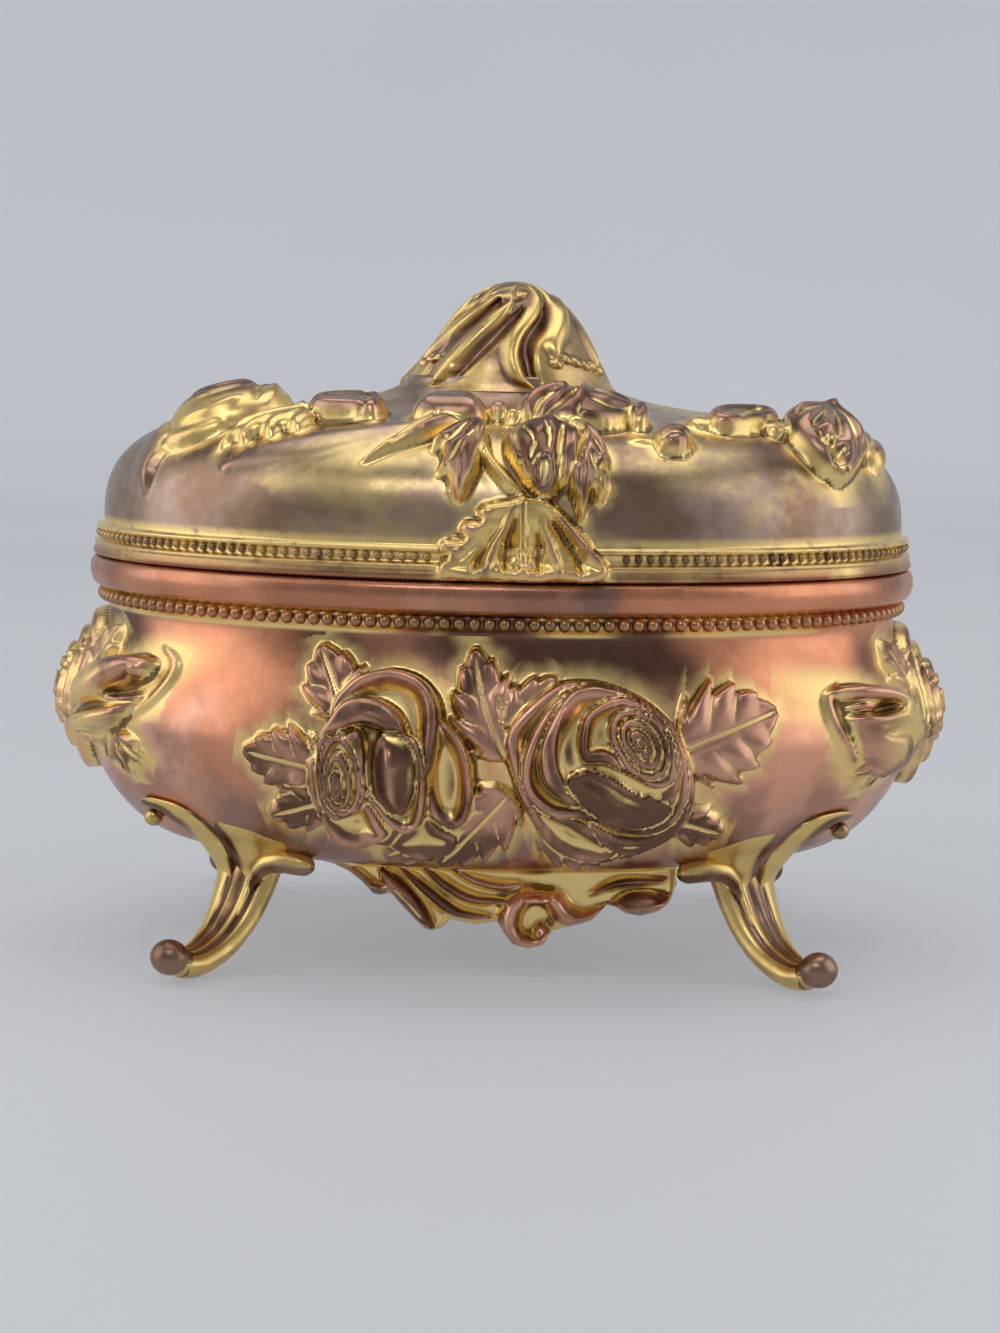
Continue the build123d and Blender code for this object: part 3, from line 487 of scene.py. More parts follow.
def right_rose(relief):
    """The right rose, its nested heart set high and to the right, over one broad lower petal."""
    petal, oval, ridge = relief.petal, relief.oval, relief.ridge
    relief.heart = np.array([16.6, 32.6])
    outer = [(0.8, 34.1), (2.4, 36.9), (6.5, 40.2), (9.7, 41.1), (13.4, 40.7), (17.4, 39.2), (21.0, 36.6),
             (23.4, 32.7), (24.8, 28.1), (24.0, 24.2), (21.6, 21.4), (17.0, 19.2), (13.0, 18.5), (8.8, 19.4),
             (6.0, 21.9), (3.4, 26.0), (1.6, 30.4)]
    petal(outer, 2.0, 0.6, 0.9, 1.1, 2.2)
    foot_left = [(3.8, 26.6), (7.4, 26.0), (11.0, 24.2), (15.2, 20.6), (13.2, 18.8), (8.8, 19.6), (5.6, 22.2)]
    petal(foot_left, 2.1, 0.5, 0.6, 0.8, 1.6, (0, 0.06), 38)
    foot_right = [(11.4, 24.6), (15.2, 22.6), (19.6, 23.0), (23.0, 26.6), (24.0, 26.6), (23.4, 23.6),
                  (20.4, 21.0), (16.4, 19.7), (13.0, 21.4)]
    petal(foot_right, 2.2, 0.4, 0.6, 0.5, 1.4, (0, 0.05), 60)
    crescent = [(3.9, 34.6), (6.1, 37.8), (9.0, 40.1), (13.4, 40.2), (18.8, 37.7), (22.2, 33.8), (23.6, 29.0),
                (22.4, 24.9), (19.4, 23.0), (15.2, 23.3), (10.5, 25.1), (6.4, 25.5), (3.4, 28.0), (2.7, 31.2)]
    petal(crescent, 2.9, 0.6, 0.7, 1.4, 1.6)
    second = [(5.0, 33.6), (7.4, 38.2), (10.1, 39.9), (14.8, 39.4), (19.7, 36.4), (21.8, 32.7), (22.2, 29.0),
              (20.6, 25.6), (15.8, 25.0), (10.0, 26.6), (6.8, 28.2), (5.2, 30.4)]
    petal(second, 3.3, 0.6, 0.6, 1.0, 2.4)
    broad = [(8.1, 30.0), (10.5, 31.2), (13.4, 30.4), (17.0, 28.3), (20.3, 27.6), (21.6, 26.2), (20.3, 24.5),
             (17.0, 23.6), (13.7, 24.1), (11.2, 25.9), (9.0, 27.9)]
    petal(broad, 3.0, 0.3, 0.7, -1.3, 2.6, (-0.02, 0.05))
    wrap = [(9.9, 32.0), (9.8, 35.6), (11.5, 37.6), (15.2, 38.5), (18.8, 36.6), (21.2, 33.4), (21.4, 29.9),
            (19.2, 28.9), (16.1, 30.2), (13.0, 31.6)]
    petal(wrap, 3.7, 0.55, 0.55, 1.2, 1.3)
    relief.heart = None
    for long_half, short_half, level in (
        (4.3, 2.9, 4.0), (3.1, 1.95, 4.15), (1.9, 1.05, 4.3), (0.8, 0.4, 4.4),
    ):
        oval(16.9, 33.6, long_half, short_half, -42, level, 0.5, 0.45, 0.75, 0.4)
    ridge([(8.3, 29.9), (10.6, 30.9), (13.4, 30.2), (16.8, 28.2), (20.2, 27.6)], 0.6, 0.45)
    ridge([(7.6, 37.4), (6.6, 34.0), (7.2, 30.6), (9.4, 27.6)], 0.6, 0.5)


def paint_open_rose(relief, x, y, radius, rise):
    """An open rose seen from its face: rings of overlapping petals round a wound heart."""
    rings = ((1.0, 6, 0.34, 0.0), (0.72, 5, 0.56, 0.5), (0.46, 4, 0.78, 0.2), (0.26, 3, 0.94, 0.6))
    relief.oval(x, y, radius * 0.93, radius * 0.93, 0, 0.3 * rise, 0.2, 0.7, -0.2 * rise, 0.6 * radius)
    for share, count, level, start in rings:
        for i in range(count):
            angle = 2 * math.pi * (i + start) / count
            c, s = math.cos(angle), math.sin(angle)
            size = radius * share
            relief.oval(
                x + 0.56 * size * c, y + 0.56 * size * s, 0.62 * size, 0.44 * size, math.degrees(angle) + 90,
                rise * level, 0.09 * rise, 0.09 * size + 0.25, 0.16 * rise, 0.3 * size, (0.06 * c, 0.06 * s),
            )
    relief.oval(x, y, 0.13 * radius, 0.09 * radius, 40, rise * 0.98, 0.2, 0.3, 0.6, 0.4)


def paint_case_end(relief, side):
    """An open rose in the middle of an end, and before it a half-open bud over a small star leaf."""
    ridge, mound = relief.ridge, relief.mound
    relief.leaf((-10.4, 37.4), (-15.4, 44.6), 7.0, 1.2, 3)
    relief.leaf((9.0, 32.0), (16.4, 26.0), 7.6, 1.2, 3)
    relief.leaf((9.6, 38.0), (17.6, 42.0), 7.0, 1.2, 3)
    paint_open_rose(relief, 0.0, 34.6, 11.4, 4.6)
    for tip in ((-25.6, 27.4), (-21.6, 24.8), (-17.4, 26.2)):
        relief.leaf((-21.0, 31.0), tip, 4.0, 0.9, 2)
    if side < 0:
        mound(-17.8, 34.4, 8.2, 4.9, 3.5, 150)
        mound(-18.8, 36.9, 7.2, 3.1, 4.8, 152)
        ridge([(-26.2, 40.0), (-24.0, 37.3), (-20.8, 35.6)], 1.7, -2.8)
        mound(-24.2, 38.9, 1.1, 0.8, 3.2, 130)
        ridge([(-24.4, 35.2), (-19.2, 34.0), (-12.8, 32.2)], 1.0, -1.5)
        ridge([(-23.6, 33.4), (-18.8, 32.2), (-13.2, 31.4)], 1.2, 1.0)
        ridge([(-22.6, 31.6), (-18.2, 30.4), (-13.8, 30.4)], 0.9, -1.0)
        ridge([(-24.6, 42.8), (-26.9, 41.2), (-27.6, 38.8), (-26.6, 35.8), (-24.4, 33.6)], 0.8, 0.7)
    else:
        mound(-21.0, 32.9, 6.8, 5.3, 4.1, 140)
        mound(-21.4, 36.5, 6.4, 2.1, 4.9, 162)
        ridge([(-27.4, 37.0), (-24.6, 36.0), (-21.6, 35.9)], 1.4, -2.6)
        mound(-25.0, 36.3, 1.9, 0.6, 3.0, 174)
        ridge([(-26.8, 34.9), (-22.6, 34.9), (-18.4, 33.9), (-16.2, 31.2)], 0.9, 0.9)
        ridge([(-24.0, 33.0), (-20.2, 32.9), (-17.4, 30.6)], 0.9, -0.9)
        ridge([(-26.2, 39.6), (-28.4, 37.6), (-28.4, 33.8), (-25.8, 29.8), (-21.2, 27.6)], 1.0, 0.9)


def case_mesh():
    """The case as one wall: its outside with the relief cast in, its rim, and its plain inside."""
    fine, middling, coarse = 0.28, 0.5, 1.2
    turns = oval_turns([
        (0, middling), (25, coarse), (42, 0.62), (142, coarse), (155, middling), (228, fine), (314, middling),
        (360, middling),
    ])
    outside = np.append(spaced([(BASE_HEIGHT, 0.3), (46.0, 0.5), (NECK_HEIGHT, 1.0)]), NECK_HEIGHT)
    band_middle = (BAND_BOTTOM + SEAM_HEIGHT) / 2
    inner_neck = -NECK_INSET - WALL
    profile = [(BASE_HEIGHT, -BASE_INSET - 8.0), (BASE_HEIGHT, -BASE_INSET - 0.8)]
    profile += list(zip(outside, case_offset(outside)))
    # The seat of the beads, the band, the rim and the inside of the neck
    profile += [
        (47.1, -2.6), (47.5, -2.1), (47.9, -1.9), (48.5, -1.9), (48.9, -2.0), (49.1, -1.9),
        (BAND_BOTTOM, -BAND_INSET - 0.1), (49.6, -BAND_INSET + 0.35), (50.1, -0.35), (band_middle, 0.0),
        (52.6, -0.1), (53.1, -0.35), (SEAM_HEIGHT, -0.8), (SEAM_HEIGHT, -1.6),
        (SEAM_HEIGHT, inner_neck + 0.3), (SEAM_HEIGHT - 0.3, inner_neck), (NECK_HEIGHT, inner_neck),
    ]
    profile += [(z, float(case_offset(z)) - WALL) for z in np.linspace(NECK_HEIGHT - 3, FLOOR_TOP, 9)]
    profile.append((FLOOR_TOP, case_offset(FLOOR_TOP) - WALL - 6.0))
    x, y, z, normal = oval_wall(np.array(beyond_rim(profile)), turns)
    wall = np.zeros(z.shape, bool)
    wall[2:2 + len(outside)] = True
    height, halo = cast(z.shape, (
        (x, z, wall & (y < 0), paint_case_front), (-x, z, wall & (y > 0), paint_case_front),
        (y, z, wall & (x > 35), lambda relief: paint_case_end(relief, 1)),
        (y, z, wall & (x < -35), lambda relief: paint_case_end(relief, -1)),
    ))
    places = closed(np.stack([x, y, z], 2) + normal * height[..., None], last=(0, 0, FLOOR_TOP))
    return skin("case_casting", places, tones=relief_tones(height, height, halo))


# Lid
def dome_row(z, across, inset):
    """A height and the dome's half axes there; across is 1 at its foot and 0 at the crown."""
    half_width = CROWN_HALF_WIDTH + (RIM_HALF_WIDTH - inset - CROWN_HALF_WIDTH) * across
    return z, half_width, CROWN_HALF_DEPTH + (RIM_HALF_DEPTH - inset - CROWN_HALF_DEPTH) * across


def dome_rows():
    """Rows of height, half width and half depth up the dome and its flare, and the arc length to each."""
    share = np.concatenate([np.linspace(0, 0.96, 60), 1 - 0.04 * (1 - np.linspace(0.05, 1, 26)) ** 2])
    z = FLANGE_TOP + (CROWN_HEIGHT - FLANGE_TOP) * share
    dome = np.stack(dome_row(z, np.sqrt(np.clip(1 - share**3, 0, 1)), DOME_INSET), 1)
    share = np.linspace(0, 1, 17)[1:]
    flare = np.stack([
        CROWN_HEIGHT + (SEAT_HEIGHT - CROWN_HEIGHT) * (1 - np.sqrt(1 - share**1.4)),
        CROWN_HALF_WIDTH + (SEAT_HALF_WIDTH - CROWN_HALF_WIDTH) * share,
        CROWN_HALF_DEPTH + (SEAT_HALF_DEPTH - CROWN_HALF_DEPTH) * share,
    ], 1)
    rows = np.concatenate([dome, flare])
    arc = np.concatenate([[0], np.cumsum(np.hypot(np.diff(rows[:, 0]), np.diff(rows[:, 2])))])
    even = np.arange(0, arc[-1], 0.42)
    return np.stack([np.interp(even, arc, rows[:, k]) for k in range(3)], 1), even


def paint_lid_front(relief):
    """A leaf hangs over the beads; above it are a veined bud between two leaves, and an open rose."""
    swell = [(-36.0, 9.0), (-31.0, 11.5), (-23.5, 15.0), (-15.6, 18.5), (-9.0, 20.5)]
    relief.ridge(swell, 4.0, 0.7, mark=False)
    slanting_petal(relief)
    hanging_leaf(relief)
    side_leaves(relief)
    veined_bud(relief)
    rose_over_the_bud(relief)


def slanting_petal(relief):
    """A long petal that slants down to the left."""
    petal, ridge = relief.petal, relief.ridge
    slanting = [(-4.2, 22.6), (-7.5, 22.0), (-11.0, 19.0), (-14.2, 15.0), (-18.2, 10.6), (-13.4, 13.2),
                (-9.6, 15.4), (-6.6, 17.8), (-3.6, 20.4)]
    petal(slanting, 2.3, 0.1, 0.6, -0.2, 1.2, (0.06, 0), soft=1.9)
    ridge([(-5.2, 21.6), (-9.6, 18.0), (-14.6, 13.4)], 0.55, -0.9)
    ridge([(-7.0, 18.2), (-10.4, 15.8)], 0.5, 0.4)


def hanging_leaf(relief):
    """The broad leaf that hangs over the beads, with three berries on its left and fanned veins."""
    petal, ridge, mound = relief.petal, relief.ridge, relief.mound
    hanging = [(2.3, 6.2), (5.0, 5.9), (6.4, 5.2), (7.8, 3.8), (10.0, 1.8), (11.9, -0.6), (13.2, -2.2),
               (13.0, -3.7), (11.0, -4.15), (7.4, -4.0), (3.0, -4.2), (-1.0, -3.9), (-4.5, -4.1),
               (-7.6, -3.6), (-7.9, -2.4), (-6.7, -1.4), (-7.6, -0.6), (-7.5, 0.7), (-4.6, 1.0), (-5.3, 2.2),
               (-4.6, 3.2), (-2.6, 3.3), (-3.2, 4.3), (-2.5, 5.2), (-0.3, 5.6)]
    petal(hanging, 1.5, 0.35, 0.5, 0.3, 1.6)
    for x, up, size in ((-1.7, 4.5, 0.85), (-3.7, 2.3, 1.0), (-5.7, -0.4, 1.25)):
        mound(x, up, size * 1.2, size, 2.2)
        ridge([(x - size * 0.6, up - size * 0.3), (x, up + size * 0.2), (x + size * 0.7, up)], 0.4, -0.35)
    ridge([(2.3, 5.8), (2.5, 1.5), (2.7, -3.6)], 0.8, 0.9)
    ridge([(1.4, 5.0), (-0.6, 0.6), (-2.2, -3.4)], 1.1, 0.8)
    ridge([(3.2, 4.6), (5.6, 0.8), (7.2, -3.3)], 0.9, 0.7)
    ridge([(6.6, 4.4), (9.6, 0.8), (12.2, -2.2)], 0.9, 1.0)
    ridge([(1.0, 3.0), (-1.8, 0.4), (-5.2, -2.4)], 0.7, 0.5)
    ridge([(4.2, 3.4), (4.6, 0.2), (4.4, -1.6), (4.9, -3.8)], 0.7, -1.2)
    ridge([(1.4, 3.4), (0.7, 1.0), (0.4, -1.4), (0.6, -3.8)], 0.7, -1.2)
    ridge([(6.0, 3.6), (8.4, 0.4), (9.4, -1.4), (10.2, -3.6)], 0.7, -1.1)
    ridge([(0.2, 3.0), (-2.4, -0.4), (-3.8, -3.6)], 0.6, -1.0)
    ridge([(4.4, 5.4), (7.2, 2.2), (7.6, 0.4)], 0.5, -0.9)
    ridge([(8.6, 3.0), (11.0, 0.2), (12.6, -1.2)], 0.5, -0.7)
    for x, up, far in ((2.4, 1.2, 1.5), (2.5, -0.6, 1.6), (2.6, -2.0, 1.4)):
        for way in (-1, 1):
            ridge([(x + 0.3 * way, up), (x + far * way, up - 1.0)], 0.4, -0.6)


def side_leaves(relief):
    """A toothed leaf on each side of the bud."""
    petal, ridge = relief.petal, relief.ridge
    left_leaf = [(-2.8, 18.6), (-5.0, 18.4), (-7.4, 16.2), (-9.4, 13.4), (-8.0, 12.7), (-7.7, 10.8),
                 (-8.4, 9.3), (-7.0, 8.7), (-6.5, 6.8), (-5.3, 5.4), (-4.1, 7.4), (-3.2, 9.6), (-2.7, 12.6),
                 (-2.4, 15.6)]
    petal(left_leaf, 2.1, 0.25, 0.5, -0.5, 1.6, soft=1.0, steps=5)
    ridge([(-3.2, 17.8), (-5.0, 13.0), (-5.4, 6.6)], 0.6, 0.5)
    ridge([(-4.4, 17.2), (-6.4, 13.6), (-8.4, 12.9)], 0.6, -0.6)
    ridge([(-4.0, 14.6), (-6.2, 11.0), (-7.2, 9.4)], 0.6, -0.6)
    right_leaf = [(7.0, 17.8), (9.0, 18.8), (11.2, 17.2), (12.5, 14.4), (13.2, 11.6), (12.3, 9.9),
                  (13.0, 7.8), (12.1, 5.4), (11.1, 7.2), (10.5, 5.6), (9.8, 3.2), (8.9, 5.8), (8.2, 7.4),
                  (7.8, 10.0), (7.4, 14.0)]
    petal(right_leaf, 2.2, 0.25, 0.5, -0.5, 1.6, soft=1.0, steps=5)
    ridge([(8.4, 17.6), (10.0, 12.6), (9.8, 4.6)], 0.6, 0.5)
    ridge([(9.2, 16.6), (11.4, 13.0), (12.6, 10.2)], 0.6, -0.6)
    ridge([(9.6, 12.4), (11.2, 9.6), (12.0, 6.6)], 0.6, -0.5)
    relief.mound(12.1, 10.6, 1.0, 0.9, 2.9)


def veined_bud(relief):
    """The swollen bud over the hanging leaf, wrapped from the left by a rolled petal."""
    oval, ridge = relief.oval, relief.ridge
    relief.bud(5.2, 12.4, 6.4, 4.9, -90, 3.2, 2)
    ridge([(-2.6, 17.6), (-2.2, 12.0), (0.2, 8.6), (2.6, 6.2)], 0.9, 1.7)
    ridge([(-1.0, 18.0), (-0.6, 12.6), (1.2, 9.4), (3.0, 6.8)], 0.7, -0.9)
    ridge([(0.4, 18.0), (0.6, 13.0), (1.8, 10.2)], 0.7, 0.9)
    oval(4.9, 8.6, 2.3, 1.55, 82, 3.1, 0.5, 0.35, 0.6, 0.6)
    ridge([(7.2, 16.0), (6.8, 11.0), (6.9, 6.4)], 0.8, -1.1)
    ridge([(2.2, 16.4), (3.6, 12.8), (3.2, 10.4)], 0.55, -0.6)
    ridge([(4.8, 17.0), (5.6, 13.6), (5.4, 11.0)], 0.5, -0.6)
    ridge([(8.8, 15.8), (8.7, 11.0), (8.9, 7.2)], 0.5, 0.6)


def rose_over_the_bud(relief):
    """The rose at the top, with a broad petal and small swells on its left and a rosette on its right."""
    petal, ridge, mound = relief.petal, relief.ridge, relief.mound
    square = [(-11.4, 20.2), (-8.0, 19.2), (-3.6, 19.6), (-2.2, 22.0), (-2.6, 25.6), (-5.4, 27.6),
              (-9.4, 27.0), (-11.8, 24.8), (-12.2, 22.2)]
    petal(square, 3.5, 0.1, 1.0, -0.1, 2.4, soft=3.2)
    mound(-0.9, 23.6, 1.5, 1.8, 2.6)
    mound(1.0, 22.0, 1.2, 1.4, 2.1)
    mound(9.4, 24.2, 8.4, 6.2, 4.4)
    ridge([(2.0, 19.2), (2.8, 22.2), (5.0, 24.6), (8.0, 25.8)], 1.1, 0.9)
    ridge([(3.6, 19.4), (4.4, 21.8), (6.4, 23.4)], 0.7, -0.9)
    ridge([(9.2, 26.4), (8.4, 23.8), (7.2, 21.4), (4.6, 19.4)], 0.9, -1.5)
    ridge([(10.4, 26.2), (9.8, 23.2), (9.0, 20.2)], 0.8, 0.6)
    ridge([(11.0, 24.6), (13.4, 23.8), (16.2, 24.2)], 0.8, -0.8)
    ridge([(10.6, 21.6), (13.4, 21.0), (16.4, 22.0)], 0.9, -0.5)
    ridge([(9.6, 19.2), (12.6, 18.8), (16.2, 20.2)], 0.8, 0.7)
    ridge([(9.2, 20.6), (9.3, 19.0)], 0.4, -0.5)
    mound(17.4, 22.0, 1.5, 3.0, 3.2)
    ridge([(16.6, 24.4), (17.2, 21.6), (17.0, 19.4)], 0.5, -0.6)
    mound(21.7, 15.6, 2.6, 2.9, 2.6)
    ridge([(19.6, 14.4), (21.2, 15.4), (23.8, 14.8)], 0.7, -0.6)
    for x in (20.0, 20.9, 21.8, 22.7):
        ridge([(x, 14.4), (x + 0.1, 13.0)], 0.4, 0.5)
    ridge([(16.4, 16.4), (18.0, 16.2), (19.4, 15.8)], 0.8, 0.6)


def paint_left_shoulder(relief):
    """A big rose with a leaf before it and loose petals beside it, from above."""
    petal, oval, ridge, mound = relief.petal, relief.oval, relief.ridge, relief.mound
    ridge([(-46.8, -20.6), (-46.2, -16.6), (-45.2, -12.0)], 4.2, 1.4, mark=False)
    oval(-40.4, -19.6, 4.6, 2.5, -14, 1.5, 0.3, 0.7, -0.3, 1.4, soft=1.3)
    leafy = [(-25.2, -21.2), (-29.8, -20.6), (-34.0, -22.0), (-37.4, -26.0), (-35.2, -25.8), (-33.8, -27.4),
             (-32.0, -26.4), (-30.2, -28.4), (-28.6, -27.0), (-26.6, -28.6), (-24.8, -26.2), (-24.4, -23.4)]
    petal(leafy, 1.5, 0.3, 0.6, -0.5, 1.8, soft=1.4, steps=5)
    ridge([(-25.4, -23.0), (-30.4, -23.2), (-36.2, -25.4)], 0.6, -0.5)
    for x, y in ((-34.0, -25.6), (-31.0, -26.2), (-27.8, -26.6)):
        ridge([(x + 1.4, y + 2.6), (x - 0.6, y - 1.2)], 0.5, -0.35)
    mound(-36.6, -13.6, 8.2, 7.8, 4.2)
    ridge([(-43.8, -15.4), (-42.0, -18.4), (-38.0, -19.6), (-34.6, -18.6)], 1.1, 0.5)
    ridge([(-42.6, -13.4), (-39.0, -15.4), (-35.2, -14.6), (-33.2, -11.2)], 0.8, -0.7)
    ridge([(-41.6, -11.2), (-38.4, -12.9), (-35.2, -12.0), (-34.0, -9.4)], 0.8, 0.4)
    ridge([(-33.4, -9.4), (-32.4, -13.6), (-32.8, -18.8)], 0.8, -0.8)
    ridge([(-31.0, -10.8), (-30.4, -14.6), (-31.0, -19.0)], 0.9, 0.5)
    mound(-26.4, -21.8, 1.7, 1.7, 2.3)
    loose = [(-25.0, -24.4), (-21.0, -26.4), (-16.8, -28.0), (-15.4, -24.4), (-16.2, -20.0), (-20.6, -17.8),
             (-24.8, -18.8), (-26.0, -21.6)]
    petal(loose, 2.8, 0.3, 0.9, 0.4, 2.4, soft=2.0)
    ridge([(-18.4, -27.0), (-17.6, -22.8), (-18.6, -19.0)], 0.5, -0.5)


def paint_right_shoulder(relief):
    """A fan of petals with a cup before it, and loose petals and leaves beside it, from above."""
    petal, oval, ridge, mound = relief.petal, relief.oval, relief.ridge, relief.mound
    mound(26.0, -22.6, 2.4, 2.5, 1.4)
    crescent = [(27.2, -25.0), (30.2, -24.6), (33.8, -21.4), (36.6, -16.8), (35.0, -13.2), (31.2, -14.8),
                (27.8, -18.2), (26.2, -22.0)]
    petal(crescent, 2.4, 0.4, 0.8, 0.3, 1.8, soft=1.7)
    ridge([(30.6, -23.6), (31.6, -19.6), (33.8, -15.2)], 0.5, -0.6)
    oval(36.2, -19.6, 2.3, 1.5, 40, 1.6, 0.3, 0.5, 0.2, 0.8, soft=0.9)
    fan = [(37.2, -13.0), (36.6, -18.0), (37.4, -22.2), (39.4, -24.4), (41.6, -24.8), (44.8, -22.4),
           (46.8, -18.2), (48.2, -13.4), (47.6, -9.0), (44.4, -7.0), (40.2, -8.4)]
    petal(fan, 3.3, 0.3, 0.8, -0.4, 2.6, soft=2.4)
    for foot in ((37.6, -16.8), (38.4, -20.4), (40.4, -22.8), (43.8, -21.4), (46.4, -16.8)):
        ridge([(43.4, -8.4), ((43.8 + foot[0]) / 2, (foot[1] - 9.0) / 2), foot], 0.9, 0.8)
    for foot in ((37.8, -18.8), (39.2, -21.8), (42.2, -22.4), (45.4, -19.4)):
        ridge([(43.2, -9.2), ((43.6 + foot[0]) / 2, (foot[1] - 9.4) / 2), foot], 0.55, -0.7)
    oval(42.2, -22.4, 2.2, 1.7, -20, 2.3, 0.4, 0.45, 1.7, 0.7)
    mound(48.8, -9.4, 2.6, 5.0, 2.7)
    ridge([(48.4, -13.4), (49.0, -9.4), (49.0, -5.6)], 0.6, -0.6)


def lid_mesh():
    """The lid as one wall: its plain inside, its flange, and its dome with the relief cast in."""
    fine, middling, coarse = 0.36, 0.5, 1.3
    turns = oval_turns([
        (0, coarse), (10, coarse), (172, middling), (246, fine), (300, middling), (346, coarse), (360, 1),
    ])
    rows, arc = dome_rows()
    inset = DOME_INSET + LID_WALL
    crown, spring = CROWN_HEIGHT - LID_WALL, LEDGE + 1.0
    inside = [(crown, 0.5, 0.5), (crown, CROWN_HALF_WIDTH - 2, CROWN_HALF_DEPTH - 2)]
    for share in np.linspace(1.0, 0.0, 7):
        across = math.sqrt(1 - min(0.999, share) ** 3)
        inside.append(dome_row(spring + (crown - spring) * share, across, inset))
    # The ledge for the lining, the lower edge and the moulded outside, with the seat of the beads
    flange = beyond_rim([
        (LEDGE + 0.6, -inset), (LEDGE, -2.4), (54.2, -2.4), (LID_BOTTOM, -2.2), (LID_BOTTOM, -0.75),
        (53.8, -0.55), (54.1, -0.42), (54.6, -0.55), (55.0, -0.75), (55.15, -0.7), (55.4, -0.55),
        (55.65, -0.75), (55.8, -1.2), (56.1, -1.35), (56.6, -1.4), (57.1, -1.3), (57.3, -0.95),
        (57.55, -0.8), (57.8, -0.95),
    ])
    profile = np.array(inside + flange + [tuple(row) for row in rows])
    x, y, z, normal = oval_wall(profile, turns)
    # The relief that hangs over the flange stands on a smooth wall there, not on the flange's steps
    edge = slice(len(inside) + 3, -len(rows))
    smooth = profile.copy()
    flare = 0.9 * (FLANGE_TOP - profile[edge, 0]) / (FLANGE_TOP - LID_BOTTOM)
    smooth[edge, 1] = RIM_HALF_WIDTH - DOME_INSET + flare
    smooth[edge, 2] = RIM_HALF_DEPTH - DOME_INSET + flare
    *smooth_places, smooth_normal = oval_wall(smooth, turns)
    smooth_normal = np.stack([softened(smooth_normal[..., k], 40) for k in range(3)], 2)
    smooth_normal /= np.linalg.norm(smooth_normal, axis=2, keepdims=True)
    along = np.full(len(profile), NO_RELIEF)
    along[edge] = profile[edge, 0] - FLANGE_TOP
    along[-len(rows):] = arc
    along = along[:, None] + 0 * x
    outside = along > NO_RELIEF
    top = (along > 5) & (y < 0)
    height, halo = cast(z.shape, (
        (x, along, (y < -8) & outside & (np.abs(x) < 40), paint_lid_front),
        (x, y, (x < -15) & top, paint_left_shoulder), (x, y, (x > 22) & top, paint_right_shoulder),
    ))
    covered = smoothstep(height, 0.1, 0.5)[..., None]
    plain = np.stack([x, y, z], 2) + normal * height[..., None] * (1 - covered)
    over = np.stack(smooth_places, 2) + smooth_normal * height[..., None]
    places = plain * (1 - covered) + over * covered
    places[..., 2] = np.maximum(places[..., 2], np.where(outside, LID_BOTTOM, 0))
    places = closed(places, (0, 0, crown), (0, 0, SEAT_HEIGHT - 0.4))
    # The relief on the left shoulder has kept more of its gilding
    gilded = 1.8 * smoothstep(-y, 9.0, 15.0) * smoothstep(-x, 26.0, 30.0)
    return skin("lid_casting", places, tones=relief_tones(height - gilded, height, halo))


# Rows of beads
def bead_row(name, z, inset, pitch, radii, gap=None):
    """Beads set round an oval, one modelled and the rest copied; gap leaves out those between two places."""
    half_width, half_depth = RIM_HALF_WIDTH - inset, RIM_HALF_DEPTH - inset
    fine, arc = oval_arc(half_width, half_depth, 8001)
    count = round(arc[-1] / pitch)
    fresh()
    bpy.ops.mesh.primitive_uv_sphere_add(segments=10, ring_count=6, radius=1.0)
    bead = name_it("bead")
    ball = points_of(bead) * np.array(radii)
    faces = [tuple(face.vertices) for face in bead.data.polygons]
    bpy.data.objects.remove(bead)
    points, rings = [], []
    for turn in np.interp(np.arange(count) / count * arc[-1], arc, fine):
        x, y = half_width * math.cos(turn), half_depth * math.sin(turn)
        if gap and y < 0 and gap[0] < x < gap[1]:
            continue
        face = math.atan2(half_width * math.sin(turn), half_depth * math.cos(turn))
        c, s = math.cos(face), math.sin(face)
        across, deep = ball[:, 0] * c - ball[:, 1] * s, ball[:, 0] * s + ball[:, 1] * c
        rings += [tuple(len(points) + i for i in corners) for corners in faces]
        points += list(np.stack([across + x, deep + y, ball[:, 2] + z], 1))
    mesh = bpy.data.meshes.new(name)
    mesh.from_pydata([tuple(point * MM) for point in points], [], rings)
    piece = bpy.data.objects.new(name, mesh)
    bpy.context.scene.collection.objects.link(piece)
    pick(piece)
    bpy.ops.object.shade_smooth()
    return toned(piece, rise=2.2, hollow=0.0, halo=1.0)


# Apron
APRON_TOP = 16.4
# Its scrolled lower edge, across and up
APRON_EDGE = [
    (-23.7, 14.7), (-21.8, 14.4), (-19.5, 13.5), (-17.8, 12.3), (-16.2, 10.7), (-15.3, 10.6), (-13.8, 10.9),
    (-11.6, 8.6), (-9.5, 6.5), (-8.3, 6.1), (-6.9, 6.7), (-5.8, 7.8), (-2.5, 7.2), (0.3, 7.7), (1.2, 6.1),
    (2.4, 4.6), (4.3, 4.1), (6.4, 4.5), (7.6, 6.5), (10.4, 7.1), (12.8, 7.9), (14.7, 9.9), (15.9, 9.6),
    (17.4, 8.6), (19.3, 8.2), (21.7, 8.7), (23.2, 9.9), (24.2, 12.2),
]


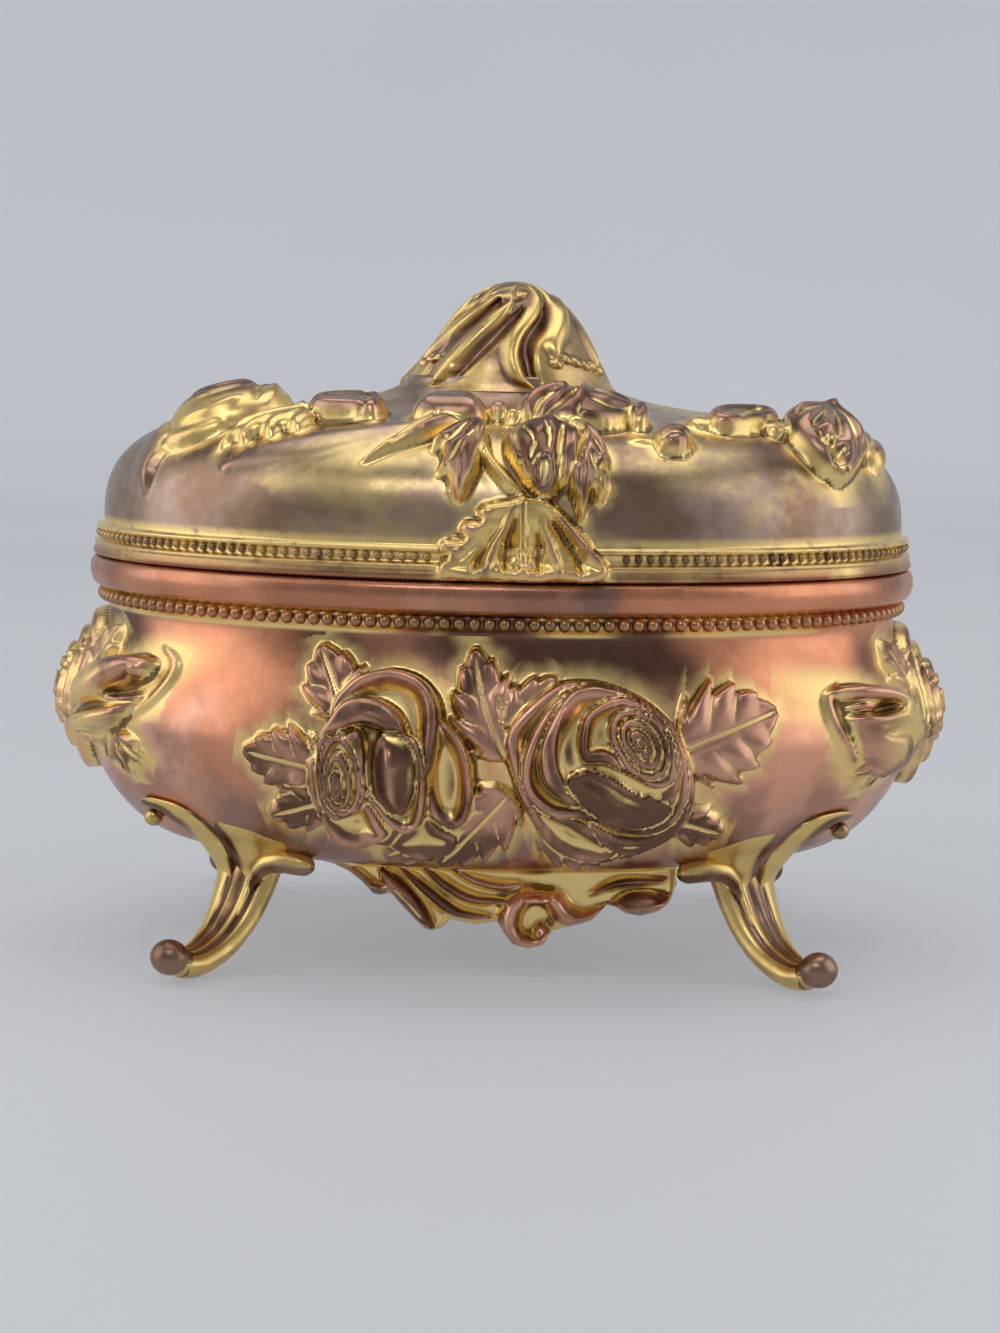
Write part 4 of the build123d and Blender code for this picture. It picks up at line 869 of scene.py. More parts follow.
def paint_apron(relief):
    """A drooping lobe, draped folds, one big curled scroll and a pointed lobe, in relief."""
    petal, ridge, mound = relief.petal, relief.ridge, relief.mound
    ridge([(-23.6, 15.2), (-19.8, 14.1), (-16.4, 11.9)], 1.2, 1.0, ends=False)
    mound(-15.5, 11.5, 1.3, 1.0, 1.5)
    ridge([(-12.4, 14.6), (-8.6, 11.4), (-5.0, 9.0), (-0.6, 8.4)], 1.1, 1.5)
    ridge([(-9.4, 14.8), (-6.2, 12.3), (-2.8, 10.8), (1.4, 10.7)], 1.0, 1.4)
    ridge([(-6.2, 15.2), (-3.2, 13.5), (0.4, 12.6), (3.6, 12.9)], 0.9, 1.2)
    ridge([(-15.0, 14.2), (-11.8, 10.6), (-8.2, 6.9)], 2.1, 2.5)
    ridge([(-13.4, 12.0), (-9.6, 8.2)], 0.7, -0.9)
    ridge([(4.0, 11.4), (7.4, 11.0), (9.2, 8.9), (11.8, 8.2), (14.6, 9.8)], 1.8, 2.4)
    ridge([(7.0, 11.4), (4.4, 11.5), (2.3, 9.8), (1.9, 7.2), (3.2, 5.4), (5.6, 5.2), (7.0, 6.6)], 2.0, 2.7)
    mound(6.2, 6.5, 1.3, 1.3, 1.7)
    ridge([(12.6, 11.6), (16.4, 13.0), (22.4, 13.0)], 0.9, 1.3)
    pointed = [(14.9, 9.9), (17.4, 11.7), (20.6, 11.8), (23.6, 10.6), (22.6, 9.0), (19.4, 8.1), (16.6, 8.5)]
    petal(pointed, 2.2, 0.2, 0.5, -0.4, 1.2, soft=1.3)
    ridge([(16.0, 9.9), (19.4, 9.7), (22.4, 10.2)], 0.6, 0.5)
    ridge([(-23.6, 15.7), (0.0, 15.4), (24.0, 15.6)], 0.7, 0.7, ends=False)


def apron_mesh(name, side):
    """The scrolled apron under the front (side -1) or rear (side 1) edge, bent to the base's oval."""
    edge = np.array(APRON_EDGE)
    left, right = edge[0, 0], edge[-1, 0]
    across = np.append(spaced([(left, 0.3), (right, 1.0)]), right)
    low = np.interp(across, edge[:, 0], edge[:, 1])
    up = np.linspace(0, 1, 34)[:, None]
    x = across + 0 * up
    z = low + (APRON_TOP - low) * up
    relief = Relief(x.ravel(), z.ravel())
    paint_apron(relief)
    height = softened(relief.height.reshape(x.shape), ring=False)
    from_ends = np.clip(np.minimum(across - left, right - across) / 1.2, 0, 1)
    out = -BASE_INSET - 0.6 + (height + 0.7) * np.sqrt(np.clip(z - low, 0, 1))
    out += np.clip(z - 14.4, 0, 2) * 1.2 - (1 - np.sqrt(from_ends)) * 1.5
    bend = np.sqrt(1 - (x / (RIM_HALF_WIDTH - BASE_INSET + 2)) ** 2)
    face = np.stack([-side * x, side * (RIM_HALF_DEPTH + out) * bend, z], 2)
    back = np.stack([-side * x, side * (RIM_HALF_DEPTH - BASE_INSET - 1.5) * bend, z], 2)[::-1]
    nothing = 0 * height
    tones = {
        "rise": np.concatenate([height, nothing, height[:1]]),
        "hollow": np.concatenate([height - softened(height, 7, ring=False), nothing, nothing[:1]]),
        "halo": np.concatenate([nothing, nothing, nothing[:1]]) + 1,
    }
    piece = skin(name, np.concatenate([face, back, face[:1]]), ring=False, tones=tones)
    pick(piece, edit=True)
    bpy.ops.mesh.fill_holes(sides=0)
    bpy.ops.mesh.normals_make_consistent(inside=False)
    bpy.ops.object.mode_set(mode="OBJECT")
    return piece


# Feet, all modelled as the left front one and then mirrored
FOOT_X, FOOT_Y, FOOT_TURN = 33.5, 22.5, 56.0
TOE_REACH, TOE_RISE, TOE_RADIUS = 15.5, 3.4, 2.35
# Reach outwards, rise, tilt from straight down, half width and half thickness at places down the leg
LEG_LINE = [
    (-2.6, 18.6, -6, 7.4, 3.4), (-1.4, 15.6, 0, 6.0, 3.2), (-0.9, 13.0, 6, 5.1, 2.8),
    (0.8, 9.6, 22, 4.6, 2.6), (3.2, 6.3, 40, 4.1, 2.4), (6.6, 3.5, 60, 3.5, 2.25),
    (10.6, 2.05, 84, 2.8, 2.05), (13.4, 2.2, 104, 2.1, 1.8), (15.0, 2.9, 130, 1.4, 1.4),
]
# Height, angle from the face's middle and half width of the swells and creases along the leg
LEG_MIDDLE = [(0.06, 0, 6.0)]
LEG_INNER_SIDE = [(-0.30, 16, 6.0), (0.16, 28, 5.0), (0.16, 64, 14.0), (-0.48, 41, 6.5)]
LEG_OUTER_SIDE = [(0.20, 36, 18.0), (-0.44, 12, 5.5)]
# Outer side, outer ridge, face, inner ridge, inner side and back of the knee, at places up it
KNEE = [
    [(-37.7, -20.8, 12.2), (-35.9, -24.2, 12.2), (-33.9, -24.6, 12.0),
     (-32.0, -25.8, 12.1), (-29.8, -25.0, 12.2), (-31.8, -20.0, 12.4)],
    [(-39.0, -21.0, 15.2), (-36.4, -24.9, 15.0), (-33.9, -25.5, 14.8),
     (-31.3, -27.5, 14.8), (-28.2, -26.4, 14.8), (-31.8, -19.5, 15.0)],
    [(-40.5, -21.6, 17.0), (-37.7, -25.3, 17.2), (-34.4, -26.7, 17.0),
     (-30.6, -29.0, 16.6), (-26.6, -27.6, 16.4), (-32.0, -19.0, 17.0)],
    [(-42.7, -22.7, 18.9), (-39.8, -26.3, 19.5), (-35.6, -28.5, 19.3),
     (-30.9, -30.4, 18.6), (-26.0, -30.0, 17.6), (-33.0, -19.0, 19.0)],
    [(-45.1, -21.7, 20.2), (-43.1, -25.6, 21.7), (-38.4, -27.8, 22.0),
     (-33.0, -30.2, 20.5), (-28.0, -30.0, 19.0), (-35.0, -20.0, 20.0)],
    [(-46.8, -20.3, 20.6), (-46.5, -22.5, 22.1), (-42.5, -25.0, 22.6),
     (-36.0, -28.6, 21.5), (-31.0, -29.0, 20.0), (-38.0, -20.0, 21.0)],
    [(-47.6, -19.5, 21.0), (-48.0, -20.2, 21.7), (-46.2, -20.8, 22.0),
     (-42.0, -23.6, 22.0), (-38.0, -24.0, 21.0), (-43.0, -18.6, 21.0)],
]
# How far the same places are browned, with two rows more where the knee grows out of the leg
KNEE_BROWNED = [
    (0.8, 1.0, 2.6, 1.2, 2.0, 2.4), (0.8, 1.0, 2.6, 1.2, 2.0, 2.4), (0.8, 0.9, 2.4, 1.0, 2.0, 2.4),
    (1.4, 0.8, 1.9, 1.0, 2.0, 2.4), (2.6, 0.8, 1.4, 0.9, 2.0, 2.4), (4.2, 0.9, 1.3, 0.9, 2.2, 2.4),
    (5.0, 1.0, 2.2, 1.0, 2.4, 2.4), (5.4, 1.0, 3.0, 1.6, 2.4, 2.4), (5.4, 1.2, 3.0, 2.0, 2.4, 2.4),
]
# Places and radii along the roll beside the leg
VOLUTE = [
    (-34.2, -27.4, 7.4, 0.3), (-32.9, -25.9, 10.4, 0.5), (-32.0, -26.2, 12.4, 0.85),
    (-31.2, -26.8, 13.6, 1.15), (-30.0, -27.4, 14.6, 1.45), (-28.2, -28.2, 15.0, 1.6),
    (-26.2, -28.9, 14.9, 1.6), (-24.9, -29.4, 14.7, 1.4), (-24.2, -29.6, 14.6, 0.9),
    (-23.9, -29.7, 14.6, 0.3),
]


def foot_to_frame(places):
    """Turns places given as reach outwards, sideways and up into the frame."""
    c, s = cos_sin(FOOT_TURN)
    reach, sideways, rise = places[..., 0], places[..., 1], places[..., 2]
    return np.stack([-FOOT_X - reach * c + sideways * s, -FOOT_Y - reach * s - sideways * c, rise], -1)


def foot_skin(name, places, brown_and_shade):
    """A closed skin of the foot, its hidden places moved out of the casket's hollow into the wall."""
    places = closed(places)
    x, y, z = places[..., 0], places[..., 1], places[..., 2]
    out = case_offset(z) - 0.8
    share = np.hypot(x / (RIM_HALF_WIDTH + out), y / (RIM_HALF_DEPTH + out))
    away = np.where((z > BASE_HEIGHT + 0.6) & (share < 1), 1 / np.maximum(share, 0.2), 1.0)
    return skin(name, np.stack([x * away, y * away, z], -1), tones=bare_tones(brown_and_shade))


def swells(angle, forms):
    """Rounded swells at angles, or creases where their height is negative, added up."""
    return sum(height * np.exp(-((angle - place) / half) ** 2) for height, place, half in forms)


def leg_mesh():
    """A curved tube with a ridge down its face and a long crease on each side of it."""
    line = smooth_line(LEG_LINE, steps=7)
    around = np.linspace(0, 2 * np.pi, 84, endpoint=False)
    face = np.degrees(np.minimum(around, 2 * np.pi - around))
    crease = swells(face, LEG_MIDDLE)
    crease = crease + np.where(around > np.pi, swells(face, LEG_OUTER_SIDE), swells(face, LEG_INNER_SIDE))
    reach, rise, tilt, half_width, half_thick = (line[:, k][:, None] for k in range(5))
    # The creases are shallow at both ends of the leg
    deepest = [0.1, 0.25, 1.0, 0.9, 0.2]
    depth = np.interp(np.arange(len(line)), [0, 13, 24, 46, len(line) - 1], deepest)[:, None]
    swing = np.radians(tilt)
    out = (half_thick + crease * depth * half_thick / 2.2) * np.cos(around)
    sideways = half_width * np.sin(around) * (1 - 0.06 * np.abs(np.cos(around)))
    up = np.maximum(rise + out * np.sin(swing), 0.0)
    places = foot_to_frame(np.stack([reach + out * np.cos(swing), sideways, up], 2))
    # Creases toned dark brown and swells bright: painted shade in the creases; the face's middle is also
    # browner
    brown_and_shade = np.clip(1.9 - 4.5 * crease + 0.6 * np.exp(-(face / 12.0) ** 2), 0.3, 3.8)
    return foot_skin("leg", places[:, ::-1], (1.9 + (brown_and_shade - 1.9) * depth)[:, ::-1])


def knee_mesh():
    """The top of the leg, flared on to the case: its outer ridge sweeps round to a wing tip."""
    around = np.radians([-75, -22, 3, 29, 64, 180])
    on_leg = []
    for row, share in ((4, 0.70), (3, 0.84), (2, 1.0)):
        reach, rise, tilt, half_width, half_thick = LEG_LINE[row]
        out, swing = share * half_thick * np.cos(around), math.radians(tilt)
        sideways = share * half_width * np.sin(around)
        ring = np.stack([reach + out * math.cos(swing), sideways, rise + out * math.sin(swing)], 1)
        on_leg.append(foot_to_frame(ring))
    rings = np.array(on_leg[:2] + [0.5 * (on_leg[2] + np.array(KNEE[0]))] + KNEE[1:])
    rings = np.concatenate([rings, np.array(KNEE_BROWNED)[..., None]], 2)
    ridge, face, back = rings[:, 1], rings[:, 2], rings[:, 5]
    inwards = (back - ridge) / np.linalg.norm((back - ridge)[:, :3], axis=1, keepdims=True)
    crease = ridge + 0.36 * (face - ridge) + 0.55 * inwards
    # The crease between the outer ridge and the face is toned dark brown: painted shade along it
    crease[:, 3] = 3.6
    rings = np.array([smooth_line(ring, True, 7) for ring in np.insert(rings, 2, crease, 1)])
    net = smooth_line(rings.reshape(len(rings), -1), steps=6).reshape(-1, rings.shape[1], 4)
    return foot_skin("knee", net[..., :3], net[..., 3])


def volute_mesh():
    """The rounded roll beside the leg, bright above and dark brown below: painted light on top and painted
    shade underneath.
    """
    line = smooth_line(VOLUTE, steps=6)
    way = np.gradient(line[:, :3], axis=0)
    way /= np.linalg.norm(way, axis=1, keepdims=True)
    side = np.cross(way, (0.0, 0.0, 1.0))
    side /= np.linalg.norm(side, axis=1, keepdims=True)
    around = np.linspace(0, 2 * np.pi, 22, endpoint=False)
    c, s = np.cos(around)[None, :, None], np.sin(around)[None, :, None]
    ring = side[:, None] * c + np.cross(side, way)[:, None] * s
    places = closed(line[:, None, :3] + line[:, 3][:, None, None] * ring)
    # Tone set by the way each place faces: painted light on the upper side, painted shade on the lower
    return skin("volute", places, tones=bare_tones(2.0 - 2.0 * np.sin(around) + 0 * line[:, :1]))


def ball_mesh(name, reach, sideways, rise, radii, brown_and_shade=2.8):
    """A rounded knob of the foot."""
    centre = foot_to_frame(np.array([reach, sideways, rise])) * MM
    fresh()
    bpy.ops.mesh.primitive_uv_sphere_add(segments=28, ring_count=16, radius=MM, location=centre)
    ball = bpy.context.object
    ball.scale = radii
    ball.rotation_euler = (0, 0, math.radians(180 + FOOT_TURN))
    ball = name_it(name)
    bpy.ops.object.shade_smooth()
    return toned(ball, rise=brown_and_shade, hollow=0.0, halo=1.0)


def foot_piece(name, flip_x, flip_y):
    """One foot, mirrored to its corner."""
    parts = [
        leg_mesh(), knee_mesh(),
        ball_mesh("toe", TOE_REACH, 0, TOE_RISE, (TOE_RADIUS, TOE_RADIUS * 1.12, TOE_RADIUS)),
        volute_mesh(),
        ball_mesh("knob", reach=5.2, sideways=-11.9, rise=19.2, radii=(1.2, 1.3, 1.2), brown_and_shade=1.9),
        ball_mesh("toe_root", TOE_REACH - 2.4, 0, TOE_RISE - 1.2, (2.0, 2.1, 1.9)),
    ]
    fresh()
    for part in parts:
        part.select_set(True)
    bpy.context.view_layer.objects.active = parts[0]
    bpy.ops.object.join()
    piece = name_it(name)
    places = points_of(piece)
    places[:, 2] = np.maximum(places[:, 2], 0.0)
    move_points(piece, places * np.array([flip_x, flip_y, 1]))
    return mend(piece, 0.000001)


# Finial: height, two half axes and shift to the side at places up it
FINIAL_ROWS = [
    (77.0, 15.6, 12.9, 0.1), (78.0, 14.5, 12.5, 0.3), (79.2, 13.5, 12.1, 0.4), (80.4, 12.7, 11.7, 0.6),
    (82.0, 11.6, 11.0, 0.8), (85.5, 9.1, 9.0, 1.1), (88.5, 6.7, 6.8, 1.2), (90.4, 4.8, 4.9, 1.2),
    (91.5, 3.2, 3.3, 1.2), (92.1, 1.3, 1.4, 1.2),
]
# Degrees round the bud that count as one unit across, so that a fold is about as wide as it is high
FOLD_TURN = 6.0
# Folds of one side: turns round the bud in degrees and heights, then width and height, below 0 for a groove
FOLDS = [
    ([(34, 91.9), (28, 89.8), (5, 85.6), (0, 82.7), (6, 79.4), (14, 77.6)], 1.6, 1.1),
    ([(62, 91.6), (40, 88.0), (17, 85.0), (10, 82.7), (11, 80.2), (16, 77.6)], 1.3, -1.8),
    ([(80, 90.2), (52, 87.0), (34, 84.4), (30, 82.0)], 2.0, 1.0),
    ([(-6, 89.2), (-27, 85.8), (-40, 81.6), (-43, 78.0)], 2.1, 1.1),
    ([(8, 88.4), (-12, 85.4), (-27, 81.6), (-33, 78.4)], 1.3, -1.0),
    ([(-22, 89.6), (-44, 85.8), (-55, 81.6), (-58, 78.2)], 1.3, -1.1),
    ([(-40, 90.4), (-66, 86.0), (-80, 81.0)], 1.9, 0.9),
    ([(20, 90.6), (-4, 90.2), (-34, 90.0)], 1.0, 0.7),
    ([(2, 91.6), (-4, 90.8), (-2, 89.8)], 0.6, -0.6),
]
FOLDS += [
    ([(turn - 2, z + 0.5), (turn + 2, z - 0.6)], 0.7, 0.8)
    for turn, z in ((30, 81.0), (38, 81.6), (46, 81.2), (54, 80.8), (62, 80.8), (70, 80.2))
]


def finial_mesh():
    """The half-open bud on the crown, its petals folded and twisted round each other."""
    line = smooth_line(FINIAL_ROWS, steps=11)
    around = np.linspace(0, 2 * np.pi, 220, endpoint=False)
    z, half_width, half_depth, shift = (line[:, k:k + 1] + 0 * around for k in range(4))
    turn = np.degrees(around) + 0 * z
    height = 0 * z
    # Three sides, the first of which is painted from both ends of the turn
    for start in (0, 150, 255, 360):
        relief = Relief(turn.ravel() / FOLD_TURN, z.ravel())
        for points, width, rise in FOLDS:
            relief.ridge([((place + start) / FOLD_TURN, up) for place, up in points], width, rise)
        painted = relief.height.reshape(z.shape)
        height = np.where(np.abs(painted) > np.abs(height), painted, height)
    height = softened(height, 2)
    height *= np.clip((92.5 - z) / 2.6, 0.1, 1) * np.clip((z - 77.2) / 1.2, 0, 1)
    x, y = shift + (half_width + height) * np.sin(around), -(half_depth + height) * np.cos(around)
    places = closed(np.stack([x, y, z], 2), (0.1, 0, 77.0), (1.2, 0, 92.2))
    # Folds toned bright and grooves dark brown: painted highlight on the folds and painted shade in the
    # grooves
    return skin("bud_finial", places, tones=bare_tones(2.1 - 1.2 * (height - softened(height, 30))))


# Hinge bosses
def boss(name, low, high):
    """A flat boss across the back that a hinge leaf is screwed to."""
    fresh()
    middle = ((HINGE_PAD_FRONT_Y + HINGE_PAD_FACE_Y) / 2 * MM, (low + high) / 2 * MM)
    bpy.ops.mesh.primitive_cube_add(size=MM, location=(0, *middle))
    bpy.context.object.scale = (2 * HINGE_PAD_HALF_WIDTH, HINGE_PAD_FACE_Y - HINGE_PAD_FRONT_Y, high - low)
    block = name_it(name)
    bpy.ops.object.mode_set(mode="EDIT")
    bpy.ops.mesh.bevel(offset=0.35 * MM, segments=3)
    bpy.ops.object.mode_set(mode="OBJECT")
    bpy.ops.object.shade_smooth_by_angle(angle=math.radians(40))
    return toned(block, halo=NO_RELIEF)


# Lining
GIMP_PITCH = 2.6
LINING_BOTTOM, LINING_TOP = 18.75, 50.45


def cord_mesh(name, z, inset, radius):
    """A twisted gimp of two strands laid round an oval."""
    half_width, half_depth = RIM_HALF_WIDTH - inset, RIM_HALF_DEPTH - inset
    turns = np.linspace(0, 2 * np.pi, 900, endpoint=False)
    twists = round(math.pi * (half_width + half_depth) / GIMP_PITCH)
    around = np.linspace(0, 2 * np.pi, 12, endpoint=False)[:, None]
    size = radius * (0.72 + 0.28 * np.abs(np.cos(around - twists / 2 * turns)))
    out = size * np.cos(around)
    places = oval_row(half_width + out, half_depth + out, z + size * np.sin(around), turns)
    return skin(name, np.concatenate([places, places[:1]]))


def wall_lining_mesh():
    """Silk over wadding round the wall, drawn into soft upright gathers."""
    turns = np.linspace(0, 2 * np.pi, 720, endpoint=False)
    low, high = LINING_BOTTOM, LINING_TOP
    gathers = 0.5 + 0.5 * np.cos(84 * turns + 1.4 * np.sin(5 * turns) + 0.9 * np.sin(11 * turns + 1))

    def row(share, inset):
        z = low + (high - low) * share
        out = float(case_offset(z)) - WALL - inset
        return oval_row(RIM_HALF_WIDTH + out, RIM_HALF_DEPTH + out, z, turns)

    inner = []
    for share in np.linspace(0, 1, 16):
        swell = math.sin(math.pi * share) ** 0.5
        inner.append(row(share, 1.45 + 0.45 * swell + (0.42 * gathers - 0.1) * (0.35 + 0.65 * swell)))
    outer = [row(share, 0.3) for share in np.linspace(1, 0, 8)]
    return skin("gathered_wall_lining", np.array(inner + outer + inner[:1])[::-1])


def pad_mesh(name, base, thickness, half_width, half_depth, pulls):
    """A stuffed oval pad, flat where it rests, its crown drawn down softly at sewn points.

    Thickness is negative where the pad hangs, crown downwards.
    """
    turns = np.linspace(0, 2 * np.pi, 240, endpoint=False)
    side, way = abs(thickness), math.copysign(1, thickness)
    rows = []
    for share in np.concatenate([np.linspace(0.02, 0.9, 40), np.linspace(0.92, 1.0, 8)]):
        x, y = half_width * share * np.cos(turns), half_depth * share * np.sin(turns)
        crown = side * (1 - 0.32 * share**2) * math.sqrt(1 - max(0.0, (share - 0.86) / 0.14) ** 2 * 0.75)
        pucker = 0 * x
        for px, py in pulls:
            gap = np.hypot(x - px, y - py)
            folds = 0.12 * np.cos(7 * np.arctan2(y - py, x - px)) * np.exp(-gap / 4.0)
            pucker += 1.5 * np.exp(-(gap / 3.4) ** 1.3) - folds
        ruck = 0.10 * np.sin(0.9 * x + 1.7 * np.sin(0.23 * y))
        ruck += 0.08 * np.sin(0.55 * y - 1.1 * np.sin(0.31 * x))
        edge = 0.16 * np.cos(70 * turns + 2 * np.sin(3 * turns)) * smoothstep(share, 0.7, 0.98)
        depth = np.clip(crown - pucker + ruck + edge - 0.3, 0.25, side - 0.05)
        rows.append(np.stack([x, y, base + way * depth], 1))
    for share, lift in ((0.995, 0.3), (0.975, 0.12), (0.95, 0.0)):
        rows.append(oval_row(half_width * share, half_depth * share, base + way * side * lift, turns))
    places = closed(np.array(rows), last=(0, 0, base))
    return skin(name, places if way < 0 else places[::-1])


# The pieces, each on its body
def set_piece(piece, body, slot, *nodes):
    """Rides a finished piece on its body and hides the solids that it stands for; slot is not used."""
    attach(piece, body)
    if nodes:
        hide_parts(*nodes)
    return piece


case = set_piece(case_mesh(), "case", "case_metal", "body_shell")
case_beads = set_piece(
    bead_row("case_beads", CASE_BEAD_HEIGHT, CASE_BEAD_INSET, CASE_BEAD_PITCH, CASE_BEAD_RADII),
    "case", "case_metal",
)
aprons = [
    set_piece(apron_mesh("front_apron", -1), "case", "case_metal"),
    set_piece(apron_mesh("rear_apron", 1), "case", "case_metal"),
]
case_boss = set_piece(
    boss("case_hinge_boss", SEAM_HEIGHT - HINGE_PAD_HEIGHT, SEAM_HEIGHT), "case", "case_metal"
)
lid = set_piece(lid_mesh(), "lid", "lid_metal", "lid_shell")
# The leaf that hangs over the lid's beads leaves a gap in their row
lid_beads = set_piece(
    bead_row("lid_beads", LID_BEAD_HEIGHT, LID_BEAD_INSET, LID_BEAD_PITCH, LID_BEAD_RADII, gap=(-9.0, 14.2)),
    "lid", "lid_metal",
)
finial = set_piece(finial_mesh(), "lid", "lid_metal", "lid_finial")
lid_boss = set_piece(
    boss("lid_hinge_boss", LID_BOTTOM, SEAM_HEIGHT + HINGE_PAD_HEIGHT), "lid", "lid_metal"
)
corners = {"front_left": (1, 1), "front_right": (-1, 1), "rear_left": (1, -1), "rear_right": (-1, -1)}
feet = [
    set_piece(foot_piece(f"leg_{corner}", *flips), "case", "foot_metal", f"foot_{corner}")
    for corner, flips in corners.items()
]
floor_pulls = [(x, y) for y in (-16, 0, 16) for x in (-30, -10, 10, 30)]
floor_pulls += [(x, y) for y in (-8, 8) for x in (-20, 0, 20)]
cushion = set_piece(
    pad_mesh(
        "silk_floor_cushion", base=18.4, thickness=4.6, half_width=47.4, half_depth=32.8, pulls=floor_pulls
    ),
    "case", "lining_silk", "floor_cushion",
)
lid_pad = set_piece(
    pad_mesh("silk_lid_pad", base=55.1, thickness=-3.6, half_width=53.5, half_depth=38.9, pulls=[(0, 0)]),
    "lid", "lining_silk", "lid_pad",
)
wall_silk = set_piece(wall_lining_mesh(), "case", "lining_silk", "wall_lining")
gimps = [
    set_piece(cord_mesh("rim_gimp", z=51.4, inset=5.85, radius=0.88), "case", "lining_cord", "rim_cord"),
    set_piece(cord_mesh("lid_gimp", z=54.5, inset=3.15, radius=0.58), "lid", "lining_cord", "lid_cord"),
]


# Materials
class Nodes:
    """A material's nodes, added and joined in one line each."""

    def __init__(self, name):
        self.material = bpy.data.materials.new(name)
        self.material.use_nodes = True
        self.tree = self.material.node_tree
        self.shader = self.tree.nodes["Principled BSDF"]

    def set(self, socket, value):
        """Joins a socket to another node's, or gives it a value of its own."""
        if isinstance(value, bpy.types.NodeSocket):
            self.tree.links.new(value, socket)
        else:
            socket.default_value = value

    def add(self, kind, inputs=None, **settings):
        """A node of a kind, with its settings and inputs."""
        node = self.tree.nodes.new(kind)
        for key, value in settings.items():
            setattr(node, key, value)
        for key, value in (inputs or {}).items():
            self.set(node.inputs[key], value)
        return node

    def shade(self, **inputs):
        """The finished material, with values for the shader's own sockets."""
        for key, value in inputs.items():
            self.set(self.shader.inputs[key.replace("_", " ")], value)
        return self.material

    def place(self):
        """The place on the piece, in metres."""
        return self.add("ShaderNodeTexCoord").outputs["Object"]

    def axis(self, letter):
        """The place along one axis."""
        return self.add("ShaderNodeSeparateXYZ", {0: self.place()}).outputs[letter]

    def tone(self, name):
        """A tone that the mesh holds on its points."""
        return self.add("ShaderNodeAttribute", attribute_name=name).outputs["Fac"]

    def noise(self, scale, detail=4.0, rough=0.55, warp=0.0, vector=None):
        """Cloudy noise from 0 to 1."""
        return self.add("ShaderNodeTexNoise", {
            "Vector": vector or self.place(), "Scale": scale, "Detail": detail, "Roughness": rough,
            "Distortion": warp,
        }).outputs["Fac"]

    def spread(self, value, low, high, to_low=0.0, to_high=1.0):
        """A value spread softly from one range to another."""
        ranges = {"From Min": low, "From Max": high, "To Min": to_low, "To Max": to_high}
        node = self.add("ShaderNodeMapRange", {"Value": value, **ranges}, interpolation_type="SMOOTHSTEP")
        return node.outputs["Result"]

    def patches(self, low, high, *noise):
        """Soft-edged patches of noise; a low below high gives fewer of them."""
        return self.spread(self.noise(*noise), low, high)

    def calc(self, operation, first, second=0.0):
        """One step of arithmetic."""
        return self.add("ShaderNodeMath", {0: first, 1: second}, operation=operation).outputs[0]

    def plus(self, first, second):
        """Two values added."""
        return self.calc("ADD", first, second)

    def times(self, first, second):
        """Two values multiplied."""
        return self.calc("MULTIPLY", first, second)

    def mix(self, share, first, second):
        """The second colour laid over the first by its share."""
        node = self.add("ShaderNodeMix", {"Factor": share}, data_type="RGBA")
        self.set(node.inputs["A"], (*first, 1.0) if isinstance(first, tuple) else first)
        self.set(node.inputs["B"], (*second, 1.0) if isinstance(second, tuple) else second)
        return node.outputs["Result"]

    def bump(self, height, strength, distance):
        """The surface roughened by a height."""
        bump = self.add("ShaderNodeBump", {"Height": height, "Strength": strength, "Distance": distance})
        return bump.outputs["Normal"]


COPPER = (0.76, 0.31, 0.17)
COPPER_PINK = (0.86, 0.46, 0.32)
COPPER_WORN = (0.52, 0.25, 0.13)
COPPER_BROWN = (0.36, 0.17, 0.09)
COPPER_DULL = (0.64, 0.34, 0.23)
BEAD_BROWN = (0.34, 0.20, 0.10)
MAUVE = (0.36, 0.21, 0.17)
UMBER_SHADE = (0.16, 0.08, 0.05)
CASE_FACE_DARK = (0.18, 0.095, 0.06)
LID_FACE_DARK = (0.17, 0.09, 0.055)
LID_FACE_LIGHT = (0.35, 0.22, 0.155)
# Near black for the painted shade in the deepest creases
CREASE_SHADE = (0.10, 0.055, 0.03)
TARNISH_DARK = (0.30, 0.19, 0.125)
TARNISH_LIGHT = (0.43, 0.30, 0.235)
GOLD = (0.90, 0.65, 0.26)
GOLD_DULL = (0.58, 0.43, 0.20)
GOLD_DEEP = (0.82, 0.58, 0.21)


def relief_colour(n, ground, face, fine, keep, spill):
    """Gilding kept round the relief and in its creases; its faces rubbed brown, its lips rubbed to copper
    with a painted highlight, its deepest creases given painted shade.

    Keep is the share of the lips' copper and painted highlight, and spill the distance outside the relief
    that the gilding reaches.
    """
    halo = n.spread(n.plus(n.tone("halo"), n.times(fine, 1.8)), spill, 1.0)
    colour = n.mix(halo, ground, GOLD)
    inside = n.spread(n.plus(n.tone("halo"), n.times(fine, 0.5)), 0.3, 0.75)
    colour = n.mix(inside, colour, face)
    crease = n.spread(n.calc("SUBTRACT", n.times(fine, 0.09), n.tone("hollow")), 0.075, 0.15)
    colour = n.mix(n.times(crease, n.spread(n.tone("halo"), -0.4, 0.4)), colour, GOLD)
    # The raised lips: rubbed through to pink copper, and a painted highlight on the raised edges
    lips = n.times(n.spread(n.tone("hollow"), 0.06, 0.24), n.patches(0.42, 0.60, 110.0))
    colour = n.mix(n.times(lips, keep), colour, COPPER_PINK)
    # The deepest creases darkened near black: painted shade, partly dark patina
    deep = n.spread(n.calc("SUBTRACT", n.times(fine, 0.08), n.tone("hollow")), 0.27, 0.42)
    return n.mix(n.times(deep, 0.8), colour, CREASE_SHADE)


def cast_metal(n, colour, fine):
    """A rubbed casting of a colour, unevenly glossy and finely pitted."""
    gloss = n.spread(fine, 0.3, 0.7, 0.24, 0.38)
    return n.shade(Base_Color=colour, Metallic=1.0, Roughness=gloss, Normal=n.bump(fine, 0.15, 0.0002))


